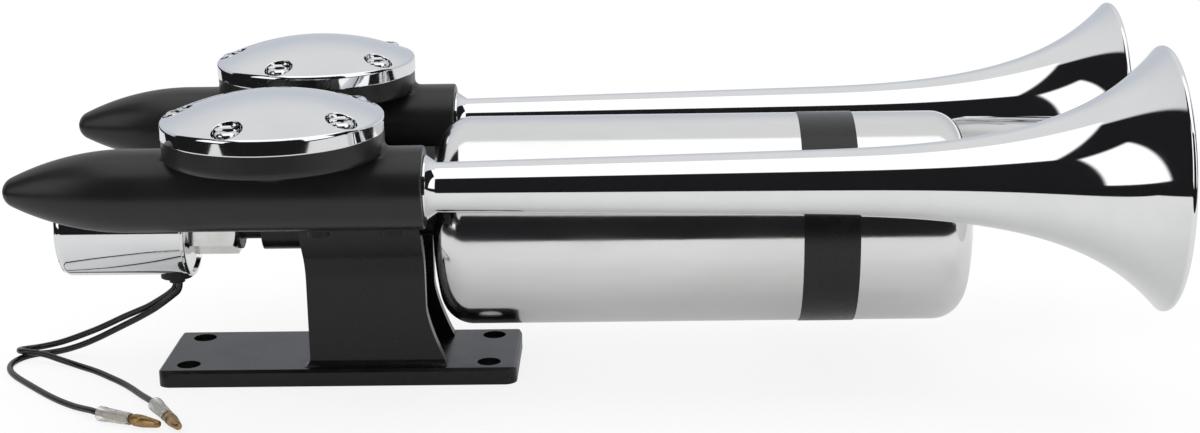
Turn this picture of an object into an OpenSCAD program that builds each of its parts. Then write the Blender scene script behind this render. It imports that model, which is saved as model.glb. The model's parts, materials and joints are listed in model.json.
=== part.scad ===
// Twin trumpet air horn with its air tank and solenoid valve on one cast bracket.
// Origin at the centre of the base plate's underside, +X towards the bells, +Z up, millimetres.

/* [Base plate] */
// Length of the base plate along X
plate_l = 146; // [138:1:170]
// Width of the base plate along Y
plate_w = 51.5; // [49:0.5:70]
// Thickness of the base plate
plate_t = 7; // [5:0.5:10]
// Radius of the plate's four corners
plate_corner_r = 5; // [3:0.5:8]
// Chamfer along the plate's upper edges
plate_edge = 1.2; // [0.5:0.1:2]
// Distance between the bolt holes along X
hole_dx = 123; // [115:1:126]
// Distance between the bolt holes along Y
hole_dy = 34.5; // [32:0.5:37]
// Diameter of the bolt holes
hole_d = 9.6; // [6:0.1:11]

/* [Leg] */
// X of the middle of the leg
leg_x = 13; // [10:1:16]
// Length of the leg along X
leg_l = 48; // [44:1:52]
// Depth of the leg over its two upright walls
leg_w = 42; // [40:1:44]
// Thickness of the leg's walls
leg_wall = 5; // [4:0.5:6]
// Height at which the walls turn outwards
leg_knee_z = 49; // [44:1:52]
// Radius of that turn
leg_knee_r = 20; // [8:1:24]
// How far the walls' bell side spreads at the foot
foot_spread = 7.8; // [4:0.2:10]
// Height of that spread
foot_spread_h = 24; // [16:1:30]
// Fillet at the foot of the walls
foot_fillet = 3; // [1:0.5:3.5]
// Thickness of the web between the walls
leg_web = 6; // [4:0.5:10]

/* [Horn bodies] */
// Distance between the two horn axes
horn_spacing = 115; // [113:1:120]
// Height of the horn axes
horn_z = 91; // [90:0.5:94]
// X of the nose tips
nose_x = -118.7; // [-126:0.1:-114]
// X of the front body's open end
front_end_x = 42.3; // [40:0.1:48]
// X of the rear body's open end
rear_end_x = 45; // [40:0.1:48]
// Radius of the bodies
body_r = 16; // [15.5:0.1:17]
// Length of the pointed nose as if it ran to a sharp point
nose_l = 55; // [50:1:62]
// Radius of the rounded nose tip
nose_tip_r = 6.2; // [5:0.1:7.5]
// Radius of the throat bore
throat_r = 8; // [6:0.1:8.2]
// Depth of the trumpet's socket
socket_l = 12; // [9:0.5:14]

/* [Sound chambers] */
// X of the chamber centres
chamber_x = -14.2; // [-18:0.1:-12]
// Radius of the chamber drums
drum_r = 41.8; // [41:0.1:44]
// Height of the drums' straight lower edge above the horn axis
drum_low = 14; // [13:0.5:15]
// Height of the drums' straight side
drum_h = 9.5; // [9:0.5:12]
// Depth of the air pocket below the diaphragm
pocket_h = 7.5; // [6:0.5:8.5]
// Radius of the air pocket
pocket_r = 28.5; // [27:0.1:29]
// Wall of the throat pipe in the pocket
throat_wall = 4; // [3:0.5:5]
// Radius of the diaphragms
diaphragm_r = 31.5; // [30.5:0.1:32]
// Thickness of the diaphragms
diaphragm_t = 0.4; // [0.3:0.1:0.6]
// Thickness of the diaphragm seals
seal_t = 0.6; // [0.4:0.1:1]

/* [Caps] */
// Radius of the caps
cap_r = 42.1; // [42:0.1:45]
// Height of the caps' upright rim
cap_rim_h = 3.7; // [3.5:0.1:5]
// Radius of the caps' shallow crown
crown_r = 100; // [90:1:130]
// Height of the crown above the rim
crown_h = 10.3; // [9.5:0.1:12]
// Thickness of the crown
crown_t = 2.2; // [1.5:0.1:3]
// Number of cap screws
cap_screw_n = 5; // [4:1:6]
// Direction of the first cap screw, from +X
cap_screw_angle = 36.5; // [0:0.5:71]
// Pitch radius of the cap screws
cap_screw_pitch = 35.6; // [35.4:0.1:36]
// Diameter of the recess round each cap screw
recess_d = 11.6; // [11:0.1:12]

/* [Trumpets] */
// Length of the front trumpet beyond its body
front_trumpet_l = 279; // [230:0.1:320]
// Length of the rear trumpet beyond its body
rear_trumpet_l = 280.3; // [230:0.1:320]
// Radius of the front bell
front_bell_r = 50; // [46:0.5:54]
// Radius of the rear bell
rear_bell_r = 47; // [44:0.5:54]
// Radius of the trumpets' narrow end
tube_r = 9.5; // [9:0.1:10]
// Radius of the collar at the body
collar_r = 12.3; // [11.5:0.1:13.5]
// Length of the collar's taper
collar_l = 5; // [4:0.5:8]
// Growth of the tube's radius for each millimetre
tube_taper = 0.0214; // [0.01:0.001:0.025]
// Length of the flared bell
flare_l = 136; // [110:1:150]
// Wall of the trumpets
trumpet_wall = 1.2; // [1:0.1:2]
// Radius of the rolled bell rim
bell_bead_r = 1.4; // [1:0.1:2]

/* [Tank] */
// Height of the tank's and the valve's common axis
tank_z = 62.3; // [61:0.1:64]
// Radius of the tank
tank_r = 42.3; // [38:0.1:44]
// X of the tank's near end
tank_x = 39.6; // [39:0.1:44]
// Length of the tank
tank_l = 218; // [180:1:240]
// Wall of the tank
tank_wall = 1.2; // [0.8:0.1:2]
// Radius of the turn between the tank's side and its ends
tank_knuckle = 13; // [8:0.5:18]
// Radius of the tank's domed ends
tank_crown_r = 150; // [110:5:250]
// Radius of the neck between tank and bracket
neck_r = 6.2; // [5.8:0.1:6.6]
// Bore of the neck
neck_bore_r = 4.2; // [3:0.1:4.6]
// X at which the plain band round the tank begins
band_x = 187.5; // [120:0.5:200]
// Width of the plain band
band_w = 22; // [10:1:30]
// Thickness of the plain band
band_t = 0.2; // [0.15:0.05:0.4]

/* [Manifold] */
// Radius of the manifold barrel
barrel_r = 11; // [10.8:0.1:12]
// X of the barrel's valve end
barrel_x0 = -30; // [-32:0.5:-29]
// X of the barrel's tank end
barrel_x1 = 24; // [22:0.5:28]
// X of the branches to the horns
branch_x = 9; // [7:0.5:11]
// Radius of the branches
branch_r = 8; // [7:0.1:8.5]
// Radius of the air passages
air_r = 3.5; // [3:0.1:4]
// Depth of the pipe and neck sockets in the barrel
barrel_socket_l = 10; // [8:0.5:12]

/* [Solenoid valve] */
// Radius of the solenoid can
can_r = 21; // [20:0.1:22]
// X of the can's closed end
can_x0 = -112.5; // [-116:0.5:-110]
// X of the can's open end
can_x1 = -59.3; // [-60:0.1:-59]
// Wall of the can
can_wall = 1; // [0.8:0.1:1.5]
// Radius of the can's rounded edge
can_edge = 4; // [1.5:0.1:4.5]
// Thickness of the end plate
end_plate_t = 2; // [1.5:0.1:3]
// Width across the flats of the valve body
hex_af = 23; // [22:0.5:24]
// X of the valve body's outlet end
hex_x1 = -40.2; // [-41:0.1:-40]
// Radius of the lock ring
nut_r = 10.6; // [9.5:0.1:11]
// Thickness of the lock ring
nut_t = 1.2; // [0.8:0.1:3]
// Radius of the pipe between valve and bracket
pipe_r = 6.6; // [6:0.1:6.8]
// Bore of that pipe
pipe_bore_r = 4.5; // [3.5:0.1:4.8]
// Radius of the plunger
plunger_r = 5.7; // [5:0.1:6]
// Length of the plunger
plunger_l = 31; // [26:0.5:32]
// Travel of the plunger
plunger_travel = 2.5; // [1:0.1:3]
// Radius of the inlet port
inlet_r = 4.4; // [3.5:0.1:5]

/* [Wires] */
// Diameter of each wire
wire_d = 2.6; // [2.6:0.1:2.6]
// Radius of the grommet's flange
grommet_r = 6.5; // [5.5:0.1:7]
// X of the grommet
grommet_x = -67.7; // [-67.7:0.1:-67.7]
// Radius of the sleeves at the wire
sleeve_r = 3; // [3:0.1:3]
// Length of the sleeves
sleeve_l = 15; // [14:0.5:16]
// Radius of the bullet terminals
bullet_r = 2.4; // [1.9:0.1:2.5]

/* [Hidden] */

$fn = 72;
// Overlap of a cutting tool past the face that it cuts
cut = 1;
// Clearance of a piece in its bore or seat
fit_gap = 0.1;
// Clearance of a piece that slides
slide_gap = 0.3;

// Leg
leg_x0 = leg_x - leg_l / 2;
leg_x1 = leg_x + leg_l / 2;
leg_in = leg_w / 2 - leg_wall;
leg_out = leg_w / 2;
web_reach = leg_in + leg_wall / 2;
// Saddle pads that carry the horn bodies
pad_under = 3;
pad_inset = 6.5;
pad_w = 12.5;
pad_step = 6;
pad_lift = 4;
pad_z = horn_z - body_r - pad_under;
pad_far = horn_spacing / 2 - pad_inset;
pad_near = pad_far - pad_w;
pad_top = pad_z + 2 * pad_step;
saddle_r = body_r + fit_gap;

// Screws that hold the horn bodies, from below
horn_screw_r = 2.5;
horn_screw_head_r = 4.2;
horn_screw_head_h = 2.8;
horn_screw_l = 16;
horn_screw_off = body_r * 0.75;
horn_screw_hex_r = 2.2;
horn_screw_xs = [leg_x0 + 10, min(front_end_x, rear_end_x) - socket_l - horn_screw_r - 0.6];

// Sound chambers, as heights
drum_z0 = horn_z + drum_low;
drum_z1 = drum_z0 + drum_h;
drum_edge = 2.5;
drum_root_r = 14;
drum_floor_r = 24;
drum_floor_z = drum_z0 - 6;
pocket_z = drum_z1 - pocket_h;
diaphragm_z = drum_z1 + seal_t;
throat_top = diaphragm_z - fit_gap;
cap_rim_z = drum_z1 + cap_rim_h;
cap_top_z = cap_rim_z + crown_h;
crown_centre_z = cap_top_z - crown_r;
cap_seat_z = diaphragm_z + diaphragm_t + fit_gap;
shoulder_r = cap_r - 1.6;

// Cap screws
cap_screw_r = 2.4;
cap_head_r = 4.7;
cap_head_h = 3.3;
cap_floor_z = cap_rim_z + 0.2;
cap_screw_tip_z = drum_z0 + 2;
cross_w = 1.3;
cross_l = 5;
cross_h = 1.6;

// Air passages
branch_angle = atan2(horn_z - tank_z, horn_spacing / 2);
branch_l = norm([horn_spacing / 2, horn_z - tank_z]);
port_seal_r = air_r + 2;
port_seal_t = 2.6;
port_lip = 1;
port_x0 = 10.5;
port_wall = 1.6;
riser_off = horn_screw_off;
riser_r = 2.2;
riser_z = horn_z - 6.5;
bore_r = throat_r + 0.5;
gallery_r = 4.6;

// Trumpet socket
root_r = 11;
socket_r = root_r + fit_gap;

// Tank
tank_end_x = tank_x + tank_l;
tank_boss_r = 10;
tank_boss_l = 8;
neck_x0 = barrel_x1 - barrel_socket_l + seal_t;
neck_x1 = tank_x + tank_boss_l;

// Valve, from the can to the pipe
can_bead_w = 1.8;
can_bead_h = 0.6;
end_plate_x = can_x1 - 1 - end_plate_t;
hex_x0 = can_x1 - 1;
seat_x = hex_x0 + 11.5;
orifice_r = 2;
hex_edge = 1.4;
seat_h = 1;
seat_wall = 1.2;
inlet_l = 3.5;
inlet_bore_r = 1.6;
pipe_x0 = hex_x1 - 5;
pipe_x1 = barrel_x0 + barrel_socket_l - seal_t;
plunger_pad_t = 1.2;
plunger_x1 = seat_x - 0.2 - plunger_pad_t;
plunger_x0 = plunger_x1 - plunger_l;
core_x1 = plunger_x0 - plunger_travel - 0.5;
core_r = plunger_r + 0.2;
tube_in_r = plunger_r + slide_gap;
tube_out_r = tube_in_r + 0.8;
tube_x0 = core_x1 - 12;
tube_x1 = hex_x0 + 7.5;
chamber_r = plunger_r + 0.6;
inlet_x = (tube_x1 + seat_x) / 2;
bobbin_x0 = can_x0 + can_wall + 4;
bobbin_x1 = end_plate_x - 1.5;
bobbin_flange_t = 1.5;
bobbin_flange_r = can_r - can_wall - 0.4;
bobbin_r = tube_out_r + 1.5;
coil_r = bobbin_flange_r - 2;
spring_r = 2.6;
spring_wire_r = 0.45;
spring_bore_r = 3.6;
spring_bore_l = 9;
spring_turns = 6;
spring_step = 20;

// Grommet and wires
grommet_flange_t = 1.7;
grommet_stem_r = 3.3;
can_low_z = tank_z - can_r;
grommet_low_z = 37.4;
wire_pitch = 2.6;
sleeve_thin_r = sleeve_r - 0.6;
sleeve_wall = 0.5;
wire_in_sleeve = 3;
bullet_out = 14;
bullet_barrel_r = sleeve_thin_r - sleeve_wall - 0.1;

// Routes of the two wires from the grommet to inside their sleeves
wire_a_points = [
    [-68.7, 1.6, 37.4], [-68.7, 1.6, 36.8], [-68.9, 1.6, 35.5], [-69.4, 1.6, 34.3], [-70.2, 1.6, 33.2],
    [-72.8, 2, 31.1], [-76.4, 2.6, 28.7], [-81.3, 3.6, 25.7], [-86, 4.8, 23.4], [-92.8, 6.9, 20.1],
    [-99.4, 9.1, 16.6], [-105.6, 11.3, 13.4], [-111.8, 13.6, 10.5], [-117.6, 15.7, 7.9],
    [-123.4, 17.9, 5.5], [-129.2, 19.8, 3.6], [-134, 20.5, 2.5], [-138.1, 19.3, 2.3], [-140.2, 15.9, 3],
    [-139.6, 12, 3.8], [-136.3, 9.5, 4.2], [-131.2, 8, 4.1], [-126.4, 6.4, 3.6], [-121.4, 3.9, 2.8],
    [-115.4, 1, 1.9], [-109.6, -2.6, 1.4], [-104, -6.8, 1.3], [-99.2, -11.2, 1.3], [-94.7, -15.8, 1.3],
    [-90.4, -20.2, 1.3], [-86.3, -24.8, 1.3], [-82.5, -29.8, 1.4], [-79, -35.2, 1.7], [-75.4, -41, 2.2],
    [-71.9, -46.5, 2.8], [-68.9, -51.1, 3.1], [-66, -56, 3.1]
];
wire_b_points = [
    [-66.5, -1.5, 37.4], [-66.5, -1.5, 36.8], [-66.7, -1.5, 35.5], [-67.2, -1.5, 34.3], [-68, -1.4, 33.2],
    [-70.8, -1.3, 31], [-74.6, -0.6, 28.1], [-78.9, 0.8, 25], [-86, 3.4, 20.6], [-93.6, 6.1, 16.3],
    [-99.6, 8.3, 12.9], [-105.6, 10.4, 9.6], [-111.9, 12.5, 6.5], [-117.4, 14.3, 4.2], [-122.8, 15.8, 2.4],
    [-127.8, 16.4, 1.4], [-132.4, 15.2, 1.3], [-136.4, 12.4, 1.3], [-139.1, 8.2, 1.3], [-140.4, 3, 1.3],
    [-139.9, -2.5, 1.3], [-137.8, -7.9, 1.3], [-134.4, -13.3, 1.3], [-130, -18.9, 1.3],
    [-125.3, -24.5, 1.3], [-120.6, -30, 1.3], [-115.7, -35.6, 1.3], [-110.6, -41, 1.3],
    [-105.4, -46.1, 1.4], [-100.4, -50.8, 1.7], [-95.9, -55, 2.3], [-91.8, -58.7, 2.9],
    [-88.2, -61.8, 3.1], [-84.5, -64, 3.1]
];
wire_a_end = wire_a_points[len(wire_a_points) - 1];
wire_b_end = wire_b_points[len(wire_b_points) - 1];
// Headings of the two terminals on the surface, from +X
terminal_a_angle = -60;
terminal_b_angle = -26;

// Points of an arc from angle a0 to a1 about a centre
function arc(centre, r, a0, a1, steps) = [
    for (i = [0:steps])
        let (a = a0 + (a1 - a0) * i / steps)
        [centre[0] + r * cos(a), centre[1] + r * sin(a)]
];

// Radius of the nose's long arc, which touches its rounded tip at the angle nose_turn
nose_rho = (body_r * body_r + nose_l * nose_l) / (2 * body_r);
nose_drop = nose_rho - body_r;
nose_reach = sqrt(pow(nose_rho - nose_tip_r, 2) - nose_drop * nose_drop);
nose_turn = atan2(nose_drop, nose_reach);
nose_shoulder_x = nose_x + nose_tip_r + nose_reach;

// Radius of a trumpet at a distance from the body
function trumpet_radius(s, length, bell) =
    let (
        straight = tube_r + tube_taper * (s - collar_l),
        t = max(0, (s - (length - flare_l)) / flare_l),
        flare = bell - tube_r - tube_taper * (length - collar_l)
    )
    straight + flare * (0.7 * pow(t, 3) + 0.3 * pow(t, 8));

// Distances along a trumpet, closer together towards the rim
function trumpet_stations(length) = concat(
    [collar_l, (length - flare_l) / 2],
    [for (i = [0:26]) length - flare_l + flare_l * (1 - pow(1 - i / 26, 1.5))]
);

// A solid of revolution about the X axis; points are [x, radius]
module turned(points) {
    rotate([90, 0, 90]) rotate_extrude() polygon([for (p = points) [p[1], p[0]]]);
}

// A round bar or bore along the X axis
module bar_x(r, x0, x1, z = 0, y = 0) {
    translate([x0, y, z]) rotate([0, 90, 0]) cylinder(r = r, h = x1 - x0);
}

// Carries a piece above the front horn (side -1) or the rear horn (side 1)
module over_horn(side) {
    translate([0, side * horn_spacing / 2, 0]) children();
}

// The same, mirrored for the rear horn
module at_horn(side) {
    over_horn(side) {
        if (side < 0) children();
        else mirror([0, 1, 0]) children();
    }
}

// Rectangle with rounded corners, centred
module rounded_rect(length, width, r) {
    square([length, width - 2 * r], center = true);
    square([length - 2 * r, width], center = true);
    for (sx = [-1, 1], sy = [-1, 1])
        translate([sx * (length / 2 - r), sy * (width / 2 - r)]) circle(r = r);
}

// Base plate, with chamfered upper edges
module plate_block() {
    intersection() {
        linear_extrude(plate_t) rounded_rect(plate_l, plate_w, plate_corner_r);
        rotate([90, 0, 0]) linear_extrude(plate_w, center = true) plate_section(plate_l);
        rotate([90, 0, 90]) linear_extrude(plate_l, center = true) plate_section(plate_w);
    }
}

module plate_section(width) {
    polygon([
        [-width / 2, 0], [width / 2, 0],
        [width / 2, plate_t - plate_edge], [width / 2 - plate_edge, plate_t],
        [-width / 2 + plate_edge, plate_t], [-width / 2, plate_t - plate_edge]
    ]);
}

// One upright wall with its foot fillet, its outward slope and the pad under the horn
module wall_section() {
    polygon(concat(
        [[leg_in, plate_t - cut], [leg_out + foot_fillet, plate_t - cut]],
        arc([leg_out + foot_fillet, plate_t + foot_fillet], foot_fillet, 270, 180, 5),
        knee(leg_out, leg_knee_z, leg_knee_r, [pad_near, pad_z], 1),
        [
            [pad_near, pad_z], [pad_far, pad_z],
            [pad_far, pad_z + pad_step], [pad_far + pad_step / 2, pad_top], [pad_near + 1, pad_top],
            [pad_near - leg_wall, pad_z + pad_lift]
        ],
        knee(leg_in, leg_knee_z + 2, leg_knee_r + leg_wall, [pad_near - leg_wall, pad_z + pad_lift], -1)
    ));
}

// Points of the bend between an upright line and one that runs on to top; way is -1 for the other order
function knee(x, z, r, top, way) =
    let (
        a = atan2(top[0] - x, top[1] - z),
        bend = arc([x + r, z - r * tan(a / 2)], r, 180, 180 - a, 6)
    )
    [for (i = [0:6]) bend[way > 0 ? i : 6 - i]];

// Side view of the walls, with their spread towards the bells
module wall_outline() {
    polygon(concat(
        [[leg_x0 - 3, plate_t - cut], [leg_x0 - 3, plate_t]],
        arc([leg_x0 - 3, plate_t + 3], 3, 270, 360, 4),
        [[leg_x0, horn_z], [leg_x1, horn_z], [leg_x1, plate_t + foot_spread_h]],
        [for (i = [1:8]) [leg_x1 + foot_spread * pow(i / 8, 1.4), plate_t + foot_spread_h * (1 - i / 8)]],
        [[leg_x1 + foot_spread, plate_t - cut]]
    ));
}

module leg_walls() {
    intersection() {
        union() {
            rotate([90, 0, 90]) linear_extrude(plate_l, center = true) wall_section();
            mirror([0, 1, 0]) rotate([90, 0, 90]) linear_extrude(plate_l, center = true) wall_section();
        }
        rotate([90, 0, 0]) linear_extrude(horn_spacing, center = true) wall_outline();
    }
}

// Upright web across the leg, below the manifold's branches
module leg_web_block() {
    translate([branch_x - leg_web / 2, 0, 0]) rotate([90, 0, 90]) linear_extrude(leg_web)
        polygon([
            [-web_reach, plate_t - cut], [web_reach, plate_t - cut], [web_reach, leg_knee_z + 1],
            [pad_near - leg_wall / 2, pad_z + pad_lift], [0, tank_z],
            [-pad_near + leg_wall / 2, pad_z + pad_lift], [-web_reach, leg_knee_z + 1]
        ]);
}

module both_sides() {
    children();
    mirror([0, 1, 0]) children();
}

module bracket() {
    color("#1c1c1e") difference() {
        union() {
            plate_block();
            leg_walls();
            leg_web_block();
            bar_x(barrel_r, barrel_x0, barrel_x1, tank_z);
            both_sides() rotate_branch() cylinder(r = branch_r, h = branch_l - body_r + 3);
        }
        for (sx = [-1, 1], sy = [-1, 1])
            translate([sx * hole_dx / 2, sy * hole_dy / 2, -cut]) cylinder(d = hole_d, h = plate_t + 2 * cut);
        bar_x(gallery_r, barrel_x0 - cut, barrel_x1 + cut, tank_z);
        bar_x(pipe_r + fit_gap, barrel_x0 - cut, barrel_x0 + barrel_socket_l, tank_z);
        bar_x(neck_r + fit_gap, barrel_x1 - barrel_socket_l, barrel_x1 + cut, tank_z);
        both_sides() rotate_branch() cylinder(r = air_r, h = branch_l);
        both_sides() bar_x(saddle_r, leg_x0 - plate_l, leg_x1 + plate_l, horn_z, horn_spacing / 2);
        both_sides() for (x = horn_screw_xs)
            translate([x, horn_spacing / 2 - horn_screw_off, pad_z - cut])
                cylinder(r = horn_screw_r + fit_gap, h = 2 * body_r);
    }
}

// Frame whose +Z runs from the barrel's axis to the horn's axis on the +Y side
module rotate_branch() {
    translate([branch_x, 0, tank_z]) rotate([branch_angle - 90, 0, 0]) children();
}

// Frame on a horn's own axis whose +Z runs from that axis to the barrel's axis
module at_port() {
    translate([branch_x, 0, horn_z]) rotate([-(90 + branch_angle), 0, 0]) children();
}

// Place of cap screw i over a chamber at Y = 0; turn is -1 in a body that is mirrored later
module at_cap_screw(i, turn = 1) {
    angle = turn * (cap_screw_angle + 360 * i / cap_screw_n);
    translate([chamber_x + cap_screw_pitch * cos(angle), cap_screw_pitch * sin(angle), 0]) children();
}

// Bullet-shaped body and the drum on top of it, before any bore
module horn_casting(end_x) {
    translate([0, 0, horn_z]) turned(concat(
        [[nose_x, 0]],
        [for (i = [1:5]) let (a = nose_turn * i / 5)
            [nose_x + nose_tip_r * (1 - cos(a)), nose_tip_r * sin(a)]],
        [for (i = [1:14]) let (a = nose_turn + (90 - nose_turn) * i / 14)
            [nose_shoulder_x - nose_rho * cos(a), nose_rho * sin(a) - nose_drop]],
        [[end_x - 0.6, body_r], [end_x, body_r - 0.6], [end_x, 0]]
    ));
    translate([chamber_x, 0, 0]) rotate_extrude() polygon(concat(
        [[0, horn_z], [drum_root_r, horn_z], [drum_floor_r, drum_floor_z]],
        arc([drum_r - drum_edge, drum_z0 + drum_edge], drum_edge, -70, 0, 4),
        [[drum_r, drum_z1], [0, drum_z1]]
    ));
}

// Horn body on its own axis, with the side that meets the bracket towards +Y
module horn_body(turn, end_x) {
    difference() {
        union() {
            difference() {
                union() {
                    horn_casting(end_x);
                    translate([branch_x, riser_off, horn_z])
                        cylinder(r = riser_r + port_wall, h = pocket_z - horn_z);
                }
                translate([chamber_x, 0, pocket_z]) cylinder(r = pocket_r, h = pocket_h + cut);
            }
            translate([chamber_x, 0, pocket_z - cut])
                cylinder(r = throat_r + throat_wall, h = throat_top - pocket_z + cut);
        }
        translate([chamber_x, 0, horn_z]) cylinder(r = throat_r, h = cap_top_z - horn_z);
        bar_x(bore_r, chamber_x - throat_r, end_x, horn_z);
        bar_x(socket_r, end_x - socket_l, end_x + cut, horn_z);
        translate([branch_x, riser_off, riser_z]) cylinder(r = riser_r, h = pocket_z - riser_z + cut);
        at_port() translate([0, 0, port_x0]) cylinder(r = air_r, h = body_r);
        at_port() translate([0, 0, body_r - port_seal_t]) cylinder(r = port_seal_r, h = body_r);
        for (x = horn_screw_xs)
            translate([x, riser_off, pad_z]) cylinder(r = horn_screw_r + fit_gap, h = horn_screw_l + 0.5);
        for (i = [0:cap_screw_n - 1])
            at_cap_screw(i, turn) translate([0, 0, cap_screw_tip_z - 0.5])
                cylinder(r = cap_screw_r + fit_gap, h = drum_h);
    }
}

// Trumpet from its root in the body's socket to its rolled rim, on its own axis
module trumpet(length, bell, end_x) {
    curve_l = length - bell_bead_r;
    rim_r = bell - bell_bead_r;
    stations = trumpet_stations(curve_l);
    outer = [for (s = stations) [s, trumpet_radius(s, curve_l, rim_r)]];
    inner = [
        for (s = stations)
            let (
                rise = trumpet_radius(s + 0.05, curve_l, rim_r) - trumpet_radius(s - 0.05, curve_l, rim_r),
                slope = atan2(s > collar_l ? rise : 0, 0.1)
            )
            [s + trumpet_wall * sin(slope), trumpet_radius(s, curve_l, rim_r) - trumpet_wall * cos(slope)]
    ];
    translate([end_x, 0, horn_z]) {
        turned(concat(
            [[-socket_l, root_r], [0, root_r], [0, collar_r]],
            outer,
            [for (i = [len(inner) - 1:-1:0]) inner[i]],
            [[-socket_l, throat_r]]
        ));
        rotate([90, 0, 90]) rotate_extrude()
            translate([rim_r, curve_l]) circle(r = bell_bead_r, $fn = 20);
    }
}

module diaphragm_seal() {
    translate([chamber_x, 0, drum_z1]) difference() {
        cylinder(r = diaphragm_r, h = seal_t);
        translate([0, 0, -cut]) cylinder(r = pocket_r, h = seal_t + 2 * cut);
    }
}

module diaphragm() {
    translate([chamber_x, 0, diaphragm_z]) cylinder(r = diaphragm_r, h = diaphragm_t);
}

// Domed cap with an upright rim and a recess round each screw
module cap() {
    edge_a = acos(shoulder_r / crown_r);
    inner_r = crown_r - crown_t;
    inner_edge_r = pocket_r - 6;
    inner_a = acos(inner_edge_r / inner_r);
    difference() {
        translate([chamber_x, 0, 0]) rotate_extrude() polygon(concat(
            [[0, cap_top_z]],
            [for (i = [1:10]) let (a = 90 + (edge_a - 90) * i / 10)
                [crown_r * cos(a), crown_centre_z + crown_r * sin(a)]],
            [
                [cap_r - 0.5, cap_rim_z + 1], [cap_r, cap_rim_z], [cap_r, drum_z1],
                [diaphragm_r + fit_gap, drum_z1], [diaphragm_r + fit_gap, cap_seat_z],
                [pocket_r, cap_seat_z], [pocket_r, cap_seat_z + 1]
            ],
            [for (i = [0:6]) let (a = inner_a + (90 - inner_a) * i / 6)
                [i == 6 ? 0 : inner_r * cos(a), crown_centre_z + inner_r * sin(a)]]
        ));
        for (i = [0:cap_screw_n - 1]) at_cap_screw(i) {
            translate([0, 0, cap_floor_z]) cylinder(d = recess_d, h = crown_h);
            translate([0, 0, drum_z1 - cut]) cylinder(r = cap_screw_r + fit_gap, h = crown_h);
        }
    }
}

// Pan head screw with a cross recess
module cap_screw() {
    difference() {
        rotate_extrude() polygon(concat(
            [[0, cap_screw_tip_z], [cap_screw_r, cap_screw_tip_z], [cap_screw_r, cap_floor_z]],
            [[cap_head_r, cap_floor_z], [cap_head_r, cap_floor_z + 1.4]],
            arc([cap_head_r - 1.9, cap_floor_z + 1.4], 1.9, 15, 90, 5),
            [[0, cap_floor_z + cap_head_h]]
        ));
        for (turn = [0, 90]) rotate(turn + 20)
            translate([-cross_l / 2, -cross_w / 2, cap_floor_z + cap_head_h - cross_h])
                cube([cross_l, cross_w, cross_h + cut]);
    }
}

module cap_screws() {
    for (i = [0:cap_screw_n - 1]) at_cap_screw(i) cap_screw();
}

// Socket screws that hold both horn bodies on the bracket's pads
module horn_screws() {
    color("#2a2a2c") both_sides() for (x = horn_screw_xs)
        translate([x, horn_spacing / 2 - horn_screw_off, pad_z]) difference() {
            union() {
                cylinder(r = horn_screw_r, h = horn_screw_l);
                translate([0, 0, -horn_screw_head_h]) cylinder(r = horn_screw_head_r, h = horn_screw_head_h);
            }
            translate([0, 0, -horn_screw_head_h - cut])
                cylinder(r = horn_screw_hex_r, h = horn_screw_head_h, $fn = 6);
        }
}

// Seal rings between the branches and the horn bodies
module port_seals() {
    color("#151515") for (side = [-1, 1]) at_horn(side)
        at_port() translate([0, 0, body_r - port_seal_t]) difference() {
            cylinder(r = port_seal_r - fit_gap, h = port_seal_t - port_lip);
            translate([0, 0, -cut]) cylinder(r = air_r, h = port_seal_t + cut);
        }
}

// Points of one domed tank end, from its crown to the straight side, at a depth inside the surface
function tank_end(depth) =
    let (
        side = tank_r - tank_knuckle,
        reach = tank_crown_r - tank_knuckle,
        turn = asin(side / reach),
        dome_l = tank_crown_r - sqrt(reach * reach - side * side),
        rc = tank_crown_r - depth,
        rk = tank_knuckle - depth
    )
    concat(
        [for (i = [0:5]) let (a = turn * i / 5) [tank_crown_r - rc * cos(a), rc * sin(a)]],
        [for (i = [1:8]) let (a = turn + (90 - turn) * i / 8) [dome_l - rk * cos(a), side + rk * sin(a)]]
    );

module tank_form(depth) {
    end = tank_end(depth);
    turned(concat(
        [for (p = end) [tank_x + p[0], p[1]]],
        [for (i = [len(end) - 1:-1:0]) [tank_end_x - end[i][0], end[i][1]]]
    ));
}

module tank() {
    color("#d8dadd") translate([0, 0, tank_z]) difference() {
        union() {
            difference() {
                tank_form(0);
                tank_form(tank_wall);
            }
            bar_x(tank_boss_r, tank_x + tank_wall, tank_x + tank_boss_l);
        }
        bar_x(neck_r + fit_gap, tank_x - cut, tank_x + tank_boss_l + cut);
    }
}

module tank_band() {
    color("#101012") ring_x(tank_r + fit_gap + band_t, tank_r + fit_gap, band_x, band_x + band_w);
}

// Ring or tube about the tank's and valve's axis
module ring_x(outer, inner, x0, x1) {
    difference() {
        bar_x(outer, x0, x1, tank_z);
        bar_x(inner, x0 - cut, x1 + cut, tank_z);
    }
}

module tank_neck() {
    color("#222224") ring_x(neck_r, neck_bore_r, neck_x0, neck_x1);
}

module neck_seal() {
    color("#151515") ring_x(neck_r, gallery_r, neck_x0 - seal_t, neck_x0);
}

module valve_pipe() {
    color("#222224") ring_x(pipe_r, pipe_bore_r, pipe_x0, pipe_x1);
}

module pipe_seal() {
    color("#151515") ring_x(pipe_r, gallery_r, pipe_x1, pipe_x1 + seal_t);
}

module valve_nut() {
    notch_n = 24;
    color("#1a1a1a") difference() {
        ring_x(nut_r, pipe_r + fit_gap, hex_x1, hex_x1 + nut_t);
        for (i = [0:notch_n - 1]) translate([0, 0, tank_z]) rotate([360 * i / notch_n, 0, 0])
            bar_x(0.7, hex_x1 - cut, hex_x1 + nut_t + cut, nut_r + 0.2);
    }
}

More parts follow.
